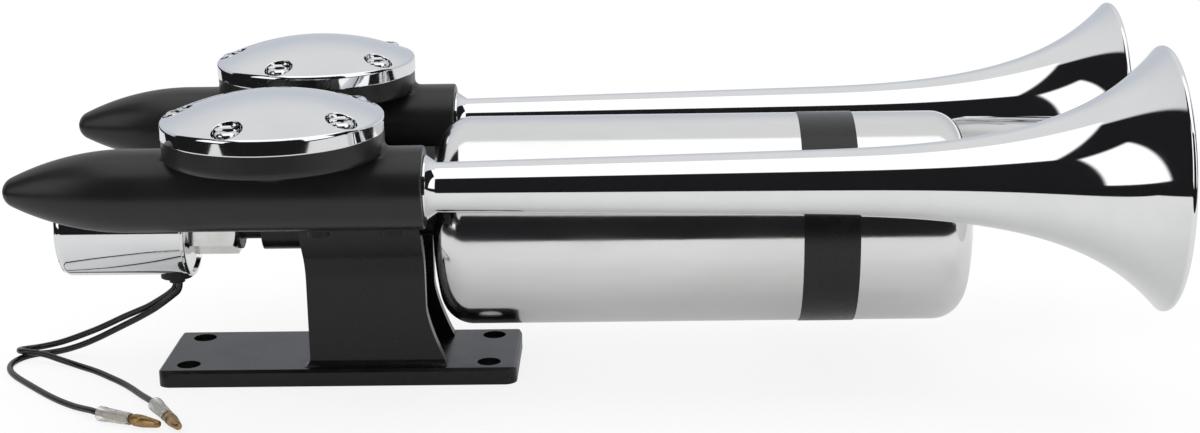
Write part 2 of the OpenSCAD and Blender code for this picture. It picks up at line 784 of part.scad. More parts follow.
// Hexagonal valve body with its seat, its outlet towards the pipe and its inlet at the back
module valve_body() {
    color("#cfd1d4") difference() {
        union() {
            difference() {
                intersection() {
                    translate([hex_x0, 0, tank_z]) rotate([0, 90, 0])
                        cylinder(r = hex_af / sqrt(3), h = hex_x1 - hex_x0, $fn = 6);
                    translate([0, 0, tank_z]) turned([
                        [hex_x0, 0], [hex_x0, hex_af / 2], [hex_x0 + hex_edge, hex_af / sqrt(3) + 0.2],
                        [hex_x1 - hex_edge, hex_af / sqrt(3) + 0.2], [hex_x1, hex_af / 2], [hex_x1, 0]
                    ]);
                }
                bar_x(tube_out_r + fit_gap, hex_x0 - cut, tube_x1, tank_z);
                bar_x(chamber_r, tube_x1 - cut, seat_x + seat_h, tank_z);
            }
            bar_x(orifice_r + seat_wall, seat_x, seat_x + seat_h + cut / 2, tank_z);
        }
        bar_x(orifice_r, seat_x - cut, pipe_x0 + cut, tank_z);
        bar_x(pipe_r + fit_gap, pipe_x0, hex_x1 + cut, tank_z);
        translate([inlet_x, 0, tank_z]) rotate([-90, 0, 0]) {
            translate([0, 0, plunger_r]) cylinder(r = inlet_bore_r, h = hex_af);
            translate([0, 0, hex_af / 2 - inlet_l]) cylinder(r = inlet_r, h = hex_af);
        }
    }
}

// Drawn can, closed towards the nose, with a bead round its open end and a hole for the grommet
module valve_can() {
    color("#e2e4e6") difference() {
        translate([0, 0, tank_z]) difference() {
            turned(concat(
                [[can_x0, 0], [can_x0, can_r - can_edge]],
                arc([can_x0 + can_edge, can_r - can_edge], can_edge, 165, 90, 5),
                [
                    [can_x1 - can_bead_w, can_r], [can_x1 - can_bead_w + 0.4, can_r + can_bead_h],
                    [can_x1 - 0.4, can_r + can_bead_h], [can_x1, can_r], [can_x1, 0]
                ]
            ));
            turned(concat(
                [[can_x0 + can_wall, 0]],
                arc([can_x0 + can_edge, can_r - can_edge], can_edge - can_wall, 180, 90, 5),
                [[can_x1 + cut, can_r - can_wall], [can_x1 + cut, 0]]
            ));
        }
        translate([grommet_x, 0, can_low_z - cut]) cylinder(r = grommet_stem_r, h = can_r);
    }
}

module end_plate() {
    color("#d4d6d8")
        ring_x(can_r - can_wall - fit_gap, tube_out_r + fit_gap, end_plate_x, end_plate_x + end_plate_t);
}

module fixed_core() {
    color("#8b8d90") bar_x(core_r, can_x0 + can_wall, core_x1, tank_z);
}

module guide_tube() {
    color("#b9a36a") ring_x(tube_out_r, tube_in_r, tube_x0, tube_x1);
}

module bobbin() {
    color("#e8e4d8") {
        ring_x(bobbin_r, tube_out_r + fit_gap, bobbin_x0, bobbin_x1);
        ring_x(bobbin_flange_r, bobbin_r - 0.5, bobbin_x0, bobbin_x0 + bobbin_flange_t);
        ring_x(bobbin_flange_r, bobbin_r - 0.5, bobbin_x1 - bobbin_flange_t, bobbin_x1);
    }
}

module coil() {
    color("#b5622e") ring_x(coil_r, bobbin_r, bobbin_x0 + bobbin_flange_t, bobbin_x1 - bobbin_flange_t);
}

module plunger() {
    color("#9a9c9f") difference() {
        bar_x(plunger_r, plunger_x0, plunger_x1, tank_z);
        bar_x(spring_bore_r, plunger_x0 - cut, plunger_x0 + spring_bore_l, tank_z);
    }
}

module plunger_pad() {
    color("#151515") bar_x(plunger_r - 1, plunger_x1, plunger_x1 + plunger_pad_t, tank_z);
}

// Points of a ring of n sides about p, square to the direction t
function ring(p, t, r, n, ref) =
    let (
        u = cross(t, ref) / norm(cross(t, ref)),
        v = cross(t, u) / norm(t)
    )
    [for (i = [0:n - 1]) p + r * (u * cos(360 * i / n) + v * sin(360 * i / n))];

// Tube of n sides along a list of points; ref is a direction that the path never takes
module swept_tube(path, r, n, ref) {
    last = len(path) - 1;
    rings = [
        for (i = [0:last])
            each ring(path[i], path[min(i + 1, last)] - path[max(i - 1, 0)], r, n, ref)
    ];
    polyhedron(
        points = rings,
        faces = concat(
            [[for (i = [0:n - 1]) i]],
            [
                for (k = [0:last - 1], i = [0:n - 1])
                    let (a = k * n + i, b = k * n + (i + 1) % n)
                    each [[a, a + n, b], [b, a + n, b + n]]
            ],
            [[for (i = [n - 1:-1:0]) last * n + i]]
        )
    );
}

module plunger_spring() {
    x0 = core_x1 + spring_wire_r;
    x1 = plunger_x0 + spring_bore_l - spring_wire_r;
    steps = spring_turns * spring_step;
    color("#c0c2c4") swept_tube(
        [for (i = [0:steps]) let (a = 360 * i / spring_step)
            [x0 + (x1 - x0) * i / steps, spring_r * cos(a), tank_z + spring_r * sin(a)]],
        spring_wire_r, 6, [1, 0, 0]
    );
}

// Rubber grommet: a flange against the can, a stem through its wall and a neck for the wires
module grommet() {
    color("#121212") {
        difference() {
            translate([grommet_x, 0, can_low_z - grommet_flange_t])
                cylinder(r = grommet_r, h = grommet_flange_t + 2);
            bar_x(can_r, can_x0, can_x1, tank_z);
        }
        translate([grommet_x, 0, grommet_low_z])
            cylinder(r = grommet_stem_r - fit_gap, h = can_low_z + can_wall - grommet_low_z);
    }
}

module wire_a() {
    color("#0e0e10") swept_tube(wire_a_points, wire_d / 2, 8, [1, 0, -1]);
}

module wire_b() {
    color("#0e0e10") swept_tube(wire_b_points, wire_d / 2, 8, [1, 0, -1]);
}

// Frame at a wire's end, whose +X runs along its terminal
module at_terminal(end, angle) {
    translate(end) rotate(angle) children();
}

// Clear sleeve, narrower towards the bullet; the wire ends a little way inside it
module sleeve() {
    x1 = sleeve_l - wire_in_sleeve;
    turned([
        [-wire_in_sleeve, sleeve_r], [x1, sleeve_thin_r],
        [x1, sleeve_thin_r - sleeve_wall], [-wire_in_sleeve, sleeve_r - sleeve_wall]
    ]);
}

// Brass bullet terminal: a barrel in the sleeve, a collar, a waist and a rounded tip
module bullet() {
    x1 = sleeve_l - wire_in_sleeve;
    tip = x1 + bullet_out;
    turned([
        [0, 0], [0, bullet_barrel_r], [x1, bullet_barrel_r], [x1 + 1, bullet_barrel_r], [x1 + 2.6, bullet_r],
        [x1 + 6, bullet_r], [x1 + 7.4, bullet_r - 0.5], [x1 + 8.6, bullet_r - 0.5],
        [tip - 3, bullet_r - 0.5], [tip - 0.8, bullet_r - 1], [tip, bullet_r - 1.2], [tip, 0]
    ]);
}

bracket();
color("#222224") at_horn(-1) horn_body(1, front_end_x);  // horn_body_front
color("#222224") at_horn(1) horn_body(-1, rear_end_x);  // horn_body_rear
color("#dcdee0") at_horn(-1) trumpet(front_trumpet_l, front_bell_r, front_end_x);  // trumpet_front
color("#dcdee0") at_horn(1) trumpet(rear_trumpet_l, rear_bell_r, rear_end_x);  // trumpet_rear
color("#151515") at_horn(-1) diaphragm_seal();  // diaphragm_seal_front
color("#151515") at_horn(1) diaphragm_seal();  // diaphragm_seal_rear
color("#c8cacc") at_horn(-1) diaphragm();  // diaphragm_front
color("#c8cacc") at_horn(1) diaphragm();  // diaphragm_rear
color("#e0e2e4") over_horn(-1) cap();  // cap_front
color("#e0e2e4") over_horn(1) cap();  // cap_rear
color("#d0d2d4") over_horn(-1) cap_screws();  // cap_screws_front
color("#d0d2d4") over_horn(1) cap_screws();  // cap_screws_rear
horn_screws();
port_seals();
tank();
tank_band();
tank_neck();
neck_seal();
valve_pipe();
pipe_seal();
valve_nut();
valve_body();
valve_can();
end_plate();
fixed_core();
guide_tube();
bobbin();
coil();
plunger();
plunger_pad();
plunger_spring();
grommet();
wire_a();
wire_b();
color("#cfd4d4") at_terminal(wire_a_end, terminal_a_angle) sleeve();  // sleeve_a
color("#cfd4d4") at_terminal(wire_b_end, terminal_b_angle) sleeve();  // sleeve_b
color("#9c7a3c") at_terminal(wire_a_end, terminal_a_angle) bullet();  // bullet_a
color("#9c7a3c") at_terminal(wire_b_end, terminal_b_angle) bullet();  // bullet_b
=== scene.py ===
"""Twin trumpet air horn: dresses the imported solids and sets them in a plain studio."""
import json
import logging
import math
from dataclasses import dataclass, field
from enum import Enum
from typing import Sequence

import bmesh
import bpy
import numpy as np
from mathutils import Matrix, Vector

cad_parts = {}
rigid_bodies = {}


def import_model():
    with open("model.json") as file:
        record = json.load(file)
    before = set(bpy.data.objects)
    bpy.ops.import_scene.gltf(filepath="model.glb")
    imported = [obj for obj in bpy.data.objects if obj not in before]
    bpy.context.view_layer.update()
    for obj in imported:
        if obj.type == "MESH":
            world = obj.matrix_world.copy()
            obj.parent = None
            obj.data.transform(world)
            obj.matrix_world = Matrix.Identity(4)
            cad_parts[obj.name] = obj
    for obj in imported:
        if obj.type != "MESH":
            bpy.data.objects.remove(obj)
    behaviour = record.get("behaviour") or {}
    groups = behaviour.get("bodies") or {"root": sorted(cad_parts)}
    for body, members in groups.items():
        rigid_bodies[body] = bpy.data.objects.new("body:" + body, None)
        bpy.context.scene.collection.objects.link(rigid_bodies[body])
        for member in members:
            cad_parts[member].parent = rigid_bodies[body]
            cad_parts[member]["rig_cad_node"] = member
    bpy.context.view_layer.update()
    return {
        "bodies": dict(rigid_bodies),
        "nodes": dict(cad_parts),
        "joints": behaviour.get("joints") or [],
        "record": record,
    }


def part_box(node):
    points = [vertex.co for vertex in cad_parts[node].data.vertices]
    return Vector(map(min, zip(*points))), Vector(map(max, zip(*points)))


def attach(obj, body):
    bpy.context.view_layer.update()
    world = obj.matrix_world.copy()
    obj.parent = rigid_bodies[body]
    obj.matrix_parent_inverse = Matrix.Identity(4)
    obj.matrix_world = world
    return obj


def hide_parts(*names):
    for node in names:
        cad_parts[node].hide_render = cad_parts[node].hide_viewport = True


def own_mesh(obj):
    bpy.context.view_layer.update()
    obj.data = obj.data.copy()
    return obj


LOG = logging.getLogger("air_horn")
MM = 0.001
SHARP_DEG = 34.0  # edges of a turned piece that turn by more stay sharp
TUBE_SHARP_DEG = 60.0  # the same on a tube
MERGE = 1e-6  # points that lie nearer are one, in metres
GRAIN_DEPTH = 0.0002  # in metres
ASIDE = np.array([1.0, 0.0, -1.0])  # a direction that no tube takes
Triple = tuple[float, float, float]
Shell = tuple[np.ndarray, np.ndarray]
Piece = bpy.types.Object
Socket = bpy.types.NodeSocket


class Side(Enum):
    """The two horns, by the sign of their Y."""

    FRONT = -1
    REAR = 1

    @property
    def word(self) -> str:
        """The side's name in the CAD nodes."""
        return self.name.lower()

    @property
    def y(self) -> float:
        """Y of the side's horn, in millimetres."""
        return self.value * LAYOUT.horn_y


@dataclass(frozen=True)
class Layout:
    """Lengths that several pieces share, in millimetres."""

    horn_y: float = 57.5
    horn_z: float = 91.0
    axis_z: float = 62.3
    chamber_x: float = -14.2
    drum_top: float = 114.5


@dataclass(frozen=True)
class HornSizes:
    """What differs between the two horns, in millimetres."""

    body_end: float
    trumpet_l: float
    bell_r: float


LAYOUT = Layout()
HORNS = {Side.FRONT: HornSizes(42.3, 279.0, 50.0), Side.REAR: HornSizes(45.0, 280.3, 47.0)}


def grid_quads(rows: int, cols: int, closed: bool) -> np.ndarray:
    """Quads of a grid of closed rows, whose point (i, j) has the index i * cols + j.

    Args:
        rows: number of rows of points.
        cols: number of points in a row.
        closed: whether the last row joins the first.

    Returns:
        Array of quads, four point indices each.
    """
    i = np.arange(rows if closed else rows - 1)[:, None]
    j = np.arange(cols)[None, :]
    i1, j1 = (i + 1) % rows, (j + 1) % cols
    quads = np.stack([i * cols + j, i * cols + j1, i1 * cols + j1, i1 * cols + j], axis=-1)
    return quads.reshape(-1, 4)


def shade(mesh: bpy.types.Mesh, sharp_deg: float) -> None:
    """Smooths a mesh, except at the edges that turn by more than an angle.

    Args:
        mesh: the mesh.
        sharp_deg: the angle.
    """
    mesh.polygons.foreach_set("use_smooth", np.ones(len(mesh.polygons), bool))
    mesh.set_sharp_from_angle(angle=math.radians(sharp_deg))
    mesh.update()


def add_object(name: str, data: bpy.types.ID) -> Piece:
    """Links a new object, at the origin.

    Args:
        name: the object's name.
        data: its mesh, lamp or camera.

    Returns:
        The object.
    """
    made = bpy.data.objects.new(name, data)
    bpy.context.scene.collection.objects.link(made)
    return made


def build_object(name: str, *parts: Shell, sharp_deg: float = SHARP_DEG) -> Piece:
    """Makes one smooth-shaded object of one or more closed shells.

    Args:
        name: name of the object and of its mesh.
        parts: (points in metres, quads) of each shell.
        sharp_deg: edges that turn by more than this stay sharp.

    Returns:
        The linked object, at the origin, with its faces pointing outwards.
    """
    points, faces, base = [], [], 0
    for xyz, quads in parts:
        points.append(xyz.reshape(-1, 3))
        faces.append(quads + base)
        base += len(points[-1])
    mesh = bpy.data.meshes.new(name)
    mesh.from_pydata(np.concatenate(points).tolist(), [], np.concatenate(faces).tolist())
    work = bmesh.new()
    work.from_mesh(mesh)
    bmesh.ops.remove_doubles(work, verts=work.verts, dist=MERGE)
    bmesh.ops.dissolve_degenerate(work, edges=work.edges, dist=MERGE / 10)
    bmesh.ops.recalc_face_normals(work, faces=work.faces)
    work.to_mesh(mesh)
    work.free()
    shade(mesh, sharp_deg)
    return add_object(name, mesh)


def keep_modified(piece: Piece) -> None:
    """Bakes a piece's modifiers into its mesh.

    Args:
        piece: the piece.
    """
    evaluated = piece.evaluated_get(bpy.context.evaluated_depsgraph_get())
    solid = bpy.data.meshes.new_from_object(evaluated)
    piece.modifiers.clear()
    piece.data = solid


def placed(*columns: Sequence[float]) -> Matrix:
    """Matrix of an object that stands at a place and is turned.

    Args:
        columns: the object's three axes, and then its place.

    Returns:
        The matrix.
    """
    frame = np.eye(4)
    frame[:3] = np.column_stack(columns)
    return Matrix(frame.tolist())


def revolve(profile: np.ndarray, place: Triple, upright: bool = False, segments: int = 192) -> Shell:
    """Turns a closed profile round an axis: (s, r cos a, r sin a), or upright (r cos a, r sin a, s).

    Args:
        profile: closed outline as rows of (s, r), in metres.
        place: the point where s is 0, in metres.
        upright: whether the axis stands, instead of lying along X.
        segments: number of steps round the axis.

    Returns:
        Points and quads of the shell.
    """
    a = np.linspace(0, 2 * np.pi, segments, endpoint=False)[None, :]
    s, r = profile[:, :1] + 0 * a, profile[:, 1:]
    ring = (r * np.cos(a), r * np.sin(a))
    xyz = np.stack((*ring, s) if upright else (s, *ring), axis=-1) + np.array(place)
    return xyz, grid_quads(len(profile), segments, True)


def arc(cx: float, cr: float, r: float, start: float, end: float, steps: int) -> np.ndarray:
    """Points (cx + r cos t, cr + r sin t) for t from start to end, in degrees."""
    t = np.radians(np.linspace(start, end, steps + 1))
    return np.stack([cx + r * np.cos(t), cr + r * np.sin(t)], axis=-1)


def run(start: float, end: float, r: float, steps: int) -> np.ndarray:
    """Points (s, r) along a straight side, without its two ends."""
    s = np.linspace(start, end, steps)[1:-1]
    return np.column_stack([s, np.full_like(s, r)])


def smooth_path(points: np.ndarray, per_span: int) -> np.ndarray:
    """Smooth cubic curve through the points.

    Each span is 0.5 * (2 b + (c - a) t + (2 a - 5 b + 4 c - d) t^2 + (3 b - a - 3 c + d) t^3).

    Args:
        points: the points that the curve passes.
        per_span: steps between two of them.

    Returns:
        The finer points.
    """
    ends = np.concatenate([[2 * points[0] - points[1]], points, [2 * points[-1] - points[-2]]])
    a, b, c, d = (ends[k : len(ends) - 3 + k, None, :] for k in range(4))
    t = np.linspace(0, 1, per_span, endpoint=False)[None, :, None]
    linear, square, cube = c - a, 2 * a - 5 * b + 4 * c - d, 3 * b - a - 3 * c + d
    curve = 0.5 * (2 * b + linear * t + square * t**2 + cube * t**3)
    return np.concatenate([curve.reshape(-1, 3), points[-1:]])


def tube_shell(path: np.ndarray, radius: float, sides: int) -> Shell:
    """Round tube along a path: rings of one radius square to the path, closed at both ends.

    Args:
        path: points of the centre line.
        radius: radius of the tube.
        sides: points in each ring.

    Returns:
        Points and quads of the shell.
    """
    ahead = np.gradient(path, axis=0)
    ahead /= np.linalg.norm(ahead, axis=1, keepdims=True)
    u = np.cross(ahead, ASIDE)
    u /= np.linalg.norm(u, axis=1, keepdims=True)
    v = np.cross(ahead, u)
    a = np.linspace(0, 2 * np.pi, sides, endpoint=False)[None, :, None]
    rings = path[:, None, :] + radius * (u[:, None, :] * np.cos(a) + v[:, None, :] * np.sin(a))
    first = np.repeat(path[:1, None, :], sides, axis=1)
    last = np.repeat(path[-1:, None, :], sides, axis=1)
    rings = np.concatenate([first, rings, last])
    return rings, grid_quads(len(rings), sides, False)


def turn_z(xyz: np.ndarray, degrees: float) -> np.ndarray:
    """Points turned about the Z axis."""
    a = math.radians(degrees)
    return xyz @ np.array([[math.cos(a), math.sin(a), 0], [-math.sin(a), math.cos(a), 0], [0, 0, 1]])


class Sockets:
    """Short ways to make nodes and links in one tree."""

    def __init__(self, tree: bpy.types.NodeTree) -> None:
        """Keeps the tree that the nodes go into."""
        self.tree = tree

    def node(self, kind: str, **settings: object) -> bpy.types.Node:
        """Adds a node.

        Args:
            kind: the node's type.
            settings: attributes, or with a leading in_ an input's value or the socket that feeds it.

        Returns:
            The node.
        """
        made = self.tree.nodes.new(kind)
        for key, value in settings.items():
            if key.startswith("in_"):
                self.feed(value, made.inputs[key[3:].replace("_", " ")])
            else:
                setattr(made, key, value)
        return made

    def maths(self, operation: str, *values: object) -> Socket:
        """Adds a Math node.

        Args:
            operation: its operation.
            values: two sockets or numbers.

        Returns:
            Its output.
        """
        made = self.node("ShaderNodeMath", operation=operation)
        for value, target in zip(values, made.inputs):
            self.feed(value, target)
        return made.outputs[0]

    def blend(self, share: Socket, *colours: object) -> Socket:
        """Adds a Mix node of two colours.

        Args:
            share: how much of the second colour.
            colours: two sockets or colours.

        Returns:
            Its output.
        """
        a, b = ((*value, 1.0) if isinstance(value, tuple) else value for value in colours)
        made = self.node("ShaderNodeMix", data_type="RGBA", in_Factor=share, in_A=a, in_B=b)
        return made.outputs["Result"]

    def shaders(self, *sources: Socket) -> Socket:
        """Adds a Mix Shader node.

        Args:
            sources: the share of the second shader, the first shader and the second.

        Returns:
            Its output.
        """
        made = self.node("ShaderNodeMixShader")
        for source, target in zip(sources, made.inputs):
            self.feed(source, target)
        return made.outputs[0]

    def feed(self, value: object, target: Socket) -> None:
        """Links a socket to an input, or sets the input's value.

        Args:
            value: the socket or the value.
            target: the input.
        """
        if isinstance(value, Socket):
            self.tree.links.new(value, target)
        else:
            target.default_value = value


def handling_group() -> bpy.types.NodeTree:
    """Faint smudges and polishing lines, as a roughness, a height and a mask.

    Returns:
        Group with the inputs Size, Stretch, Low, High and Grain Size.
    """
    tree = bpy.data.node_groups.new("Handling", "ShaderNodeTree")
    for label in ("Size", "Stretch", "Low", "High", "Grain Size"):
        tree.interface.new_socket(label, in_out="INPUT", socket_type="NodeSocketFloat")
    for label in ("Roughness", "Height", "Mask"):
        tree.interface.new_socket(label, in_out="OUTPUT", socket_type="NodeSocketFloat")
    made = Sockets(tree)
    into, out = made.node("NodeGroupInput").outputs, made.node("NodeGroupOutput").inputs
    place = made.node("ShaderNodeTexCoord").outputs["Object"]
    split = made.node("ShaderNodeSeparateXYZ", in_Vector=place).outputs
    x = made.maths("DIVIDE", split["X"], into["Stretch"])
    join = made.node("ShaderNodeCombineXYZ", in_X=x, in_Y=split["Y"], in_Z=split["Z"]).outputs[0]
    smudge = made.node("ShaderNodeTexNoise", in_Vector=join, in_Scale=into["Size"],
                       in_Detail=4.0, in_Roughness=0.6)
    grain = made.node("ShaderNodeTexNoise", in_Vector=join, in_Scale=into["Grain Size"],
                      in_Detail=2.0, in_Roughness=0.5)
    spread = {"in_Value": smudge.outputs["Fac"], "in_From_Min": 0.35, "in_From_Max": 0.68}
    level = made.node("ShaderNodeMapRange", in_To_Min=into["Low"], in_To_Max=into["High"], **spread)
    mask = made.node("ShaderNodeMapRange", **spread)
    made.feed(level.outputs["Result"], out["Roughness"])
    made.feed(grain.outputs["Fac"], out["Height"])
    made.feed(mask.outputs["Result"], out["Mask"])
    return tree


@dataclass(frozen=True)
class Finish:
    """One finish: two close colours, a range of roughness, and a fine grain."""

    name: str
    colour: Triple
    second: Triple
    metallic: float = 0.0
    low: float = 0.3
    high: float = 0.4
    size: float = 40.0
    stretch: float = 1.0
    grain_size: float = 900.0
    bump: float = 0.0
    transmission: float = 0.0
    ior: float = 1.5
    specular: float = 0.5

    def build(self, handling: bpy.types.NodeTree) -> bpy.types.Material:
        """Makes the material.

        Args:
            handling: the shared group of smudges and grain.

        Returns:
            The material.
        """
        material = bpy.data.materials.new(self.name)
        material.use_nodes = True
        tree = Sockets(material.node_tree)
        shader = material.node_tree.nodes["Principled BSDF"]
        shader.inputs["Metallic"].default_value = self.metallic
        shader.inputs["Transmission Weight"].default_value = self.transmission
        shader.inputs["IOR"].default_value = self.ior
        shader.inputs["Specular IOR Level"].default_value = self.specular
        group = tree.node("ShaderNodeGroup", node_tree=handling, in_Size=self.size,
                          in_Stretch=self.stretch, in_Low=self.low, in_High=self.high,
                          in_Grain_Size=self.grain_size).outputs
        tree.feed(group["Roughness"], shader.inputs["Roughness"])
        tree.feed(tree.blend(group["Mask"], self.colour, self.second), shader.inputs["Base Color"])
        if self.bump:
            bump = tree.node("ShaderNodeBump", in_Strength=self.bump, in_Distance=GRAIN_DEPTH,
                             in_Height=group["Height"])
            tree.feed(bump.outputs["Normal"], shader.inputs["Normal"])
        return material


class Finishes:
    """All finishes, by the record's material slot."""

    def __init__(self) -> None:
        """Builds each finish once."""
        handling = handling_group()
        chrome = {"metallic": 1.0, "low": 0.03, "high": 0.06, "size": 60.0}
        steel = {"metallic": 1.0, "low": 0.22, "high": 0.34, "size": 90.0, "bump": 0.1}
        rubber = {"low": 0.55, "high": 0.7, "size": 120.0, "grain_size": 1500.0, "bump": 0.2,
                  "specular": 0.3}
        made = (
            Finish("bracket_black", (0.005, 0.005, 0.005), (0.007, 0.007, 0.007), low=0.22, high=0.3,
                   size=55.0, grain_size=1700.0, bump=0.05, specular=0.4),
            Finish("body_black", (0.009, 0.009, 0.0092), (0.0115, 0.0115, 0.0117), low=0.29,
                   high=0.37, size=50.0, grain_size=1900.0, bump=0.05, specular=0.42),
            Finish("trumpet_chrome", (0.86, 0.865, 0.87), (0.83, 0.835, 0.84), **chrome),
            Finish("cap_chrome", (0.84, 0.85, 0.86), (0.81, 0.82, 0.83), **chrome),
            Finish("can_chrome", (0.84, 0.85, 0.86), (0.81, 0.82, 0.83), **chrome),
            Finish("tank_chrome", (0.84, 0.84, 0.84), (0.76, 0.76, 0.755), metallic=1.0,
                   low=0.07, high=0.15, size=30.0, stretch=3.0, grain_size=500.0, bump=0.03),
            Finish("valve_nickel", (0.76, 0.755, 0.74), (0.68, 0.67, 0.65), metallic=1.0,
                   low=0.1, high=0.2, size=90.0),
            Finish("screw_steel", (0.84, 0.84, 0.85), (0.78, 0.78, 0.79), metallic=1.0,
                   low=0.06, high=0.12, size=200.0),
            Finish("dark_steel", (0.01, 0.01, 0.0105), (0.014, 0.014, 0.0145), low=0.38, high=0.48,
                   size=120.0, bump=0.1, specular=0.3),
            Finish("spring_steel", (0.55, 0.55, 0.57), (0.48, 0.48, 0.5), **steel),
            Finish("core_steel", (0.45, 0.45, 0.47), (0.38, 0.38, 0.4), **steel),
            Finish("tube_brass", (0.7, 0.52, 0.25), (0.6, 0.44, 0.2), **steel),
            Finish("coil_copper", (0.6, 0.26, 0.11), (0.48, 0.2, 0.08), **steel),
            Finish("band_black", (0.006, 0.006, 0.006), (0.009, 0.009, 0.009), low=0.24, high=0.32,
                   size=70.0, specular=0.4),
            Finish("bobbin_plastic", (0.72, 0.7, 0.64), (0.66, 0.64, 0.58), low=0.45, high=0.55,
                   size=90.0, bump=0.1),
            Finish("seal_rubber", (0.012, 0.012, 0.012), (0.02, 0.02, 0.02), **rubber),
            Finish("grommet_rubber", (0.012, 0.012, 0.012), (0.02, 0.02, 0.02), **rubber),
            Finish("wire_black", (0.004, 0.004, 0.0045), (0.006, 0.006, 0.0065), low=0.2, high=0.3,
                   size=140.0, grain_size=1600.0, bump=0.03, specular=0.5),
            Finish("sleeve_clear", (0.93, 0.93, 0.9), (0.86, 0.86, 0.82), low=0.14, high=0.26,
                   size=160.0, transmission=0.8, ior=1.45),
            Finish("bullet_brass", (0.5, 0.33, 0.15), (0.36, 0.22, 0.09), metallic=1.0,
                   low=0.26, high=0.38, size=260.0, bump=0.02),
        )
        self.by_slot = {finish.name: finish.build(handling) for finish in made}

    def dress(self, piece: Piece, slot: str) -> None:
        """Gives a piece the slot's material.

        Args:
            piece: the piece.
            slot: the record's material slot.
        """
        piece.data.materials.clear()
        piece.data.materials.append(self.by_slot[slot])

    def settle(self, piece: Piece, slot: str, *nodes: str) -> Piece:
        """Dresses a new piece and lets it ride on the base in place of CAD nodes.

        Args:
            piece: the piece.
            slot: its finish.
            nodes: CAD nodes that it replaces.

        Returns:
            The piece.
        """
        self.dress(piece, slot)
        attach(piece, "base")
        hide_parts(*nodes)
        LOG.info("%s: %d faces", piece.name, len(piece.data.polygons))
        return piece

    def dress_nodes(self, nodes: dict[str, Piece], record: dict) -> None:
        """Gives every CAD node the finish of its slot."""
        for entry in record["subparts"]:
            self.dress(nodes[entry["node"]], entry["material_slot"])


@dataclass
class Bracket:
    """The cast bracket, with its edges rounded as under a coat of paint."""

    edge: float = 0.6
    edge_steps: int = 2
    merge: float = 1e-5
    flat_deg: float = 1.0
    smooth_deg: float = 180.0
    sharp_deg: float = 28.0

    def make(self, node: Piece, finishes: Finishes) -> Piece:
        """Rounds a copy of the CAD node's edges and dresses it.

        Args:
            node: the bracket's CAD node.
            finishes: all finishes.

        Returns:
            The piece.
        """
        mesh = node.data.copy()
        work = bmesh.new()
        work.from_mesh(mesh)
        bmesh.ops.remove_doubles(work, verts=work.verts, dist=self.merge)
        flat = math.radians(self.flat_deg)
        bmesh.ops.dissolve_limit(work, verts=work.verts, edges=work.edges, angle_limit=flat)
        work.to_mesh(mesh)
        work.free()
        shade(mesh, self.smooth_deg)
        piece = add_object("bracket_skin", mesh)
        bevel = piece.modifiers.new("edges", "BEVEL")
        bevel.width, bevel.segments = self.edge * MM, self.edge_steps
        bevel.limit_method, bevel.angle_limit = "ANGLE", math.radians(self.sharp_deg)
        piece.modifiers.new("even_faces", "WEIGHTED_NORMAL").keep_sharp = True
        keep_modified(piece)
        return finishes.settle(piece, "bracket_black", "bracket")


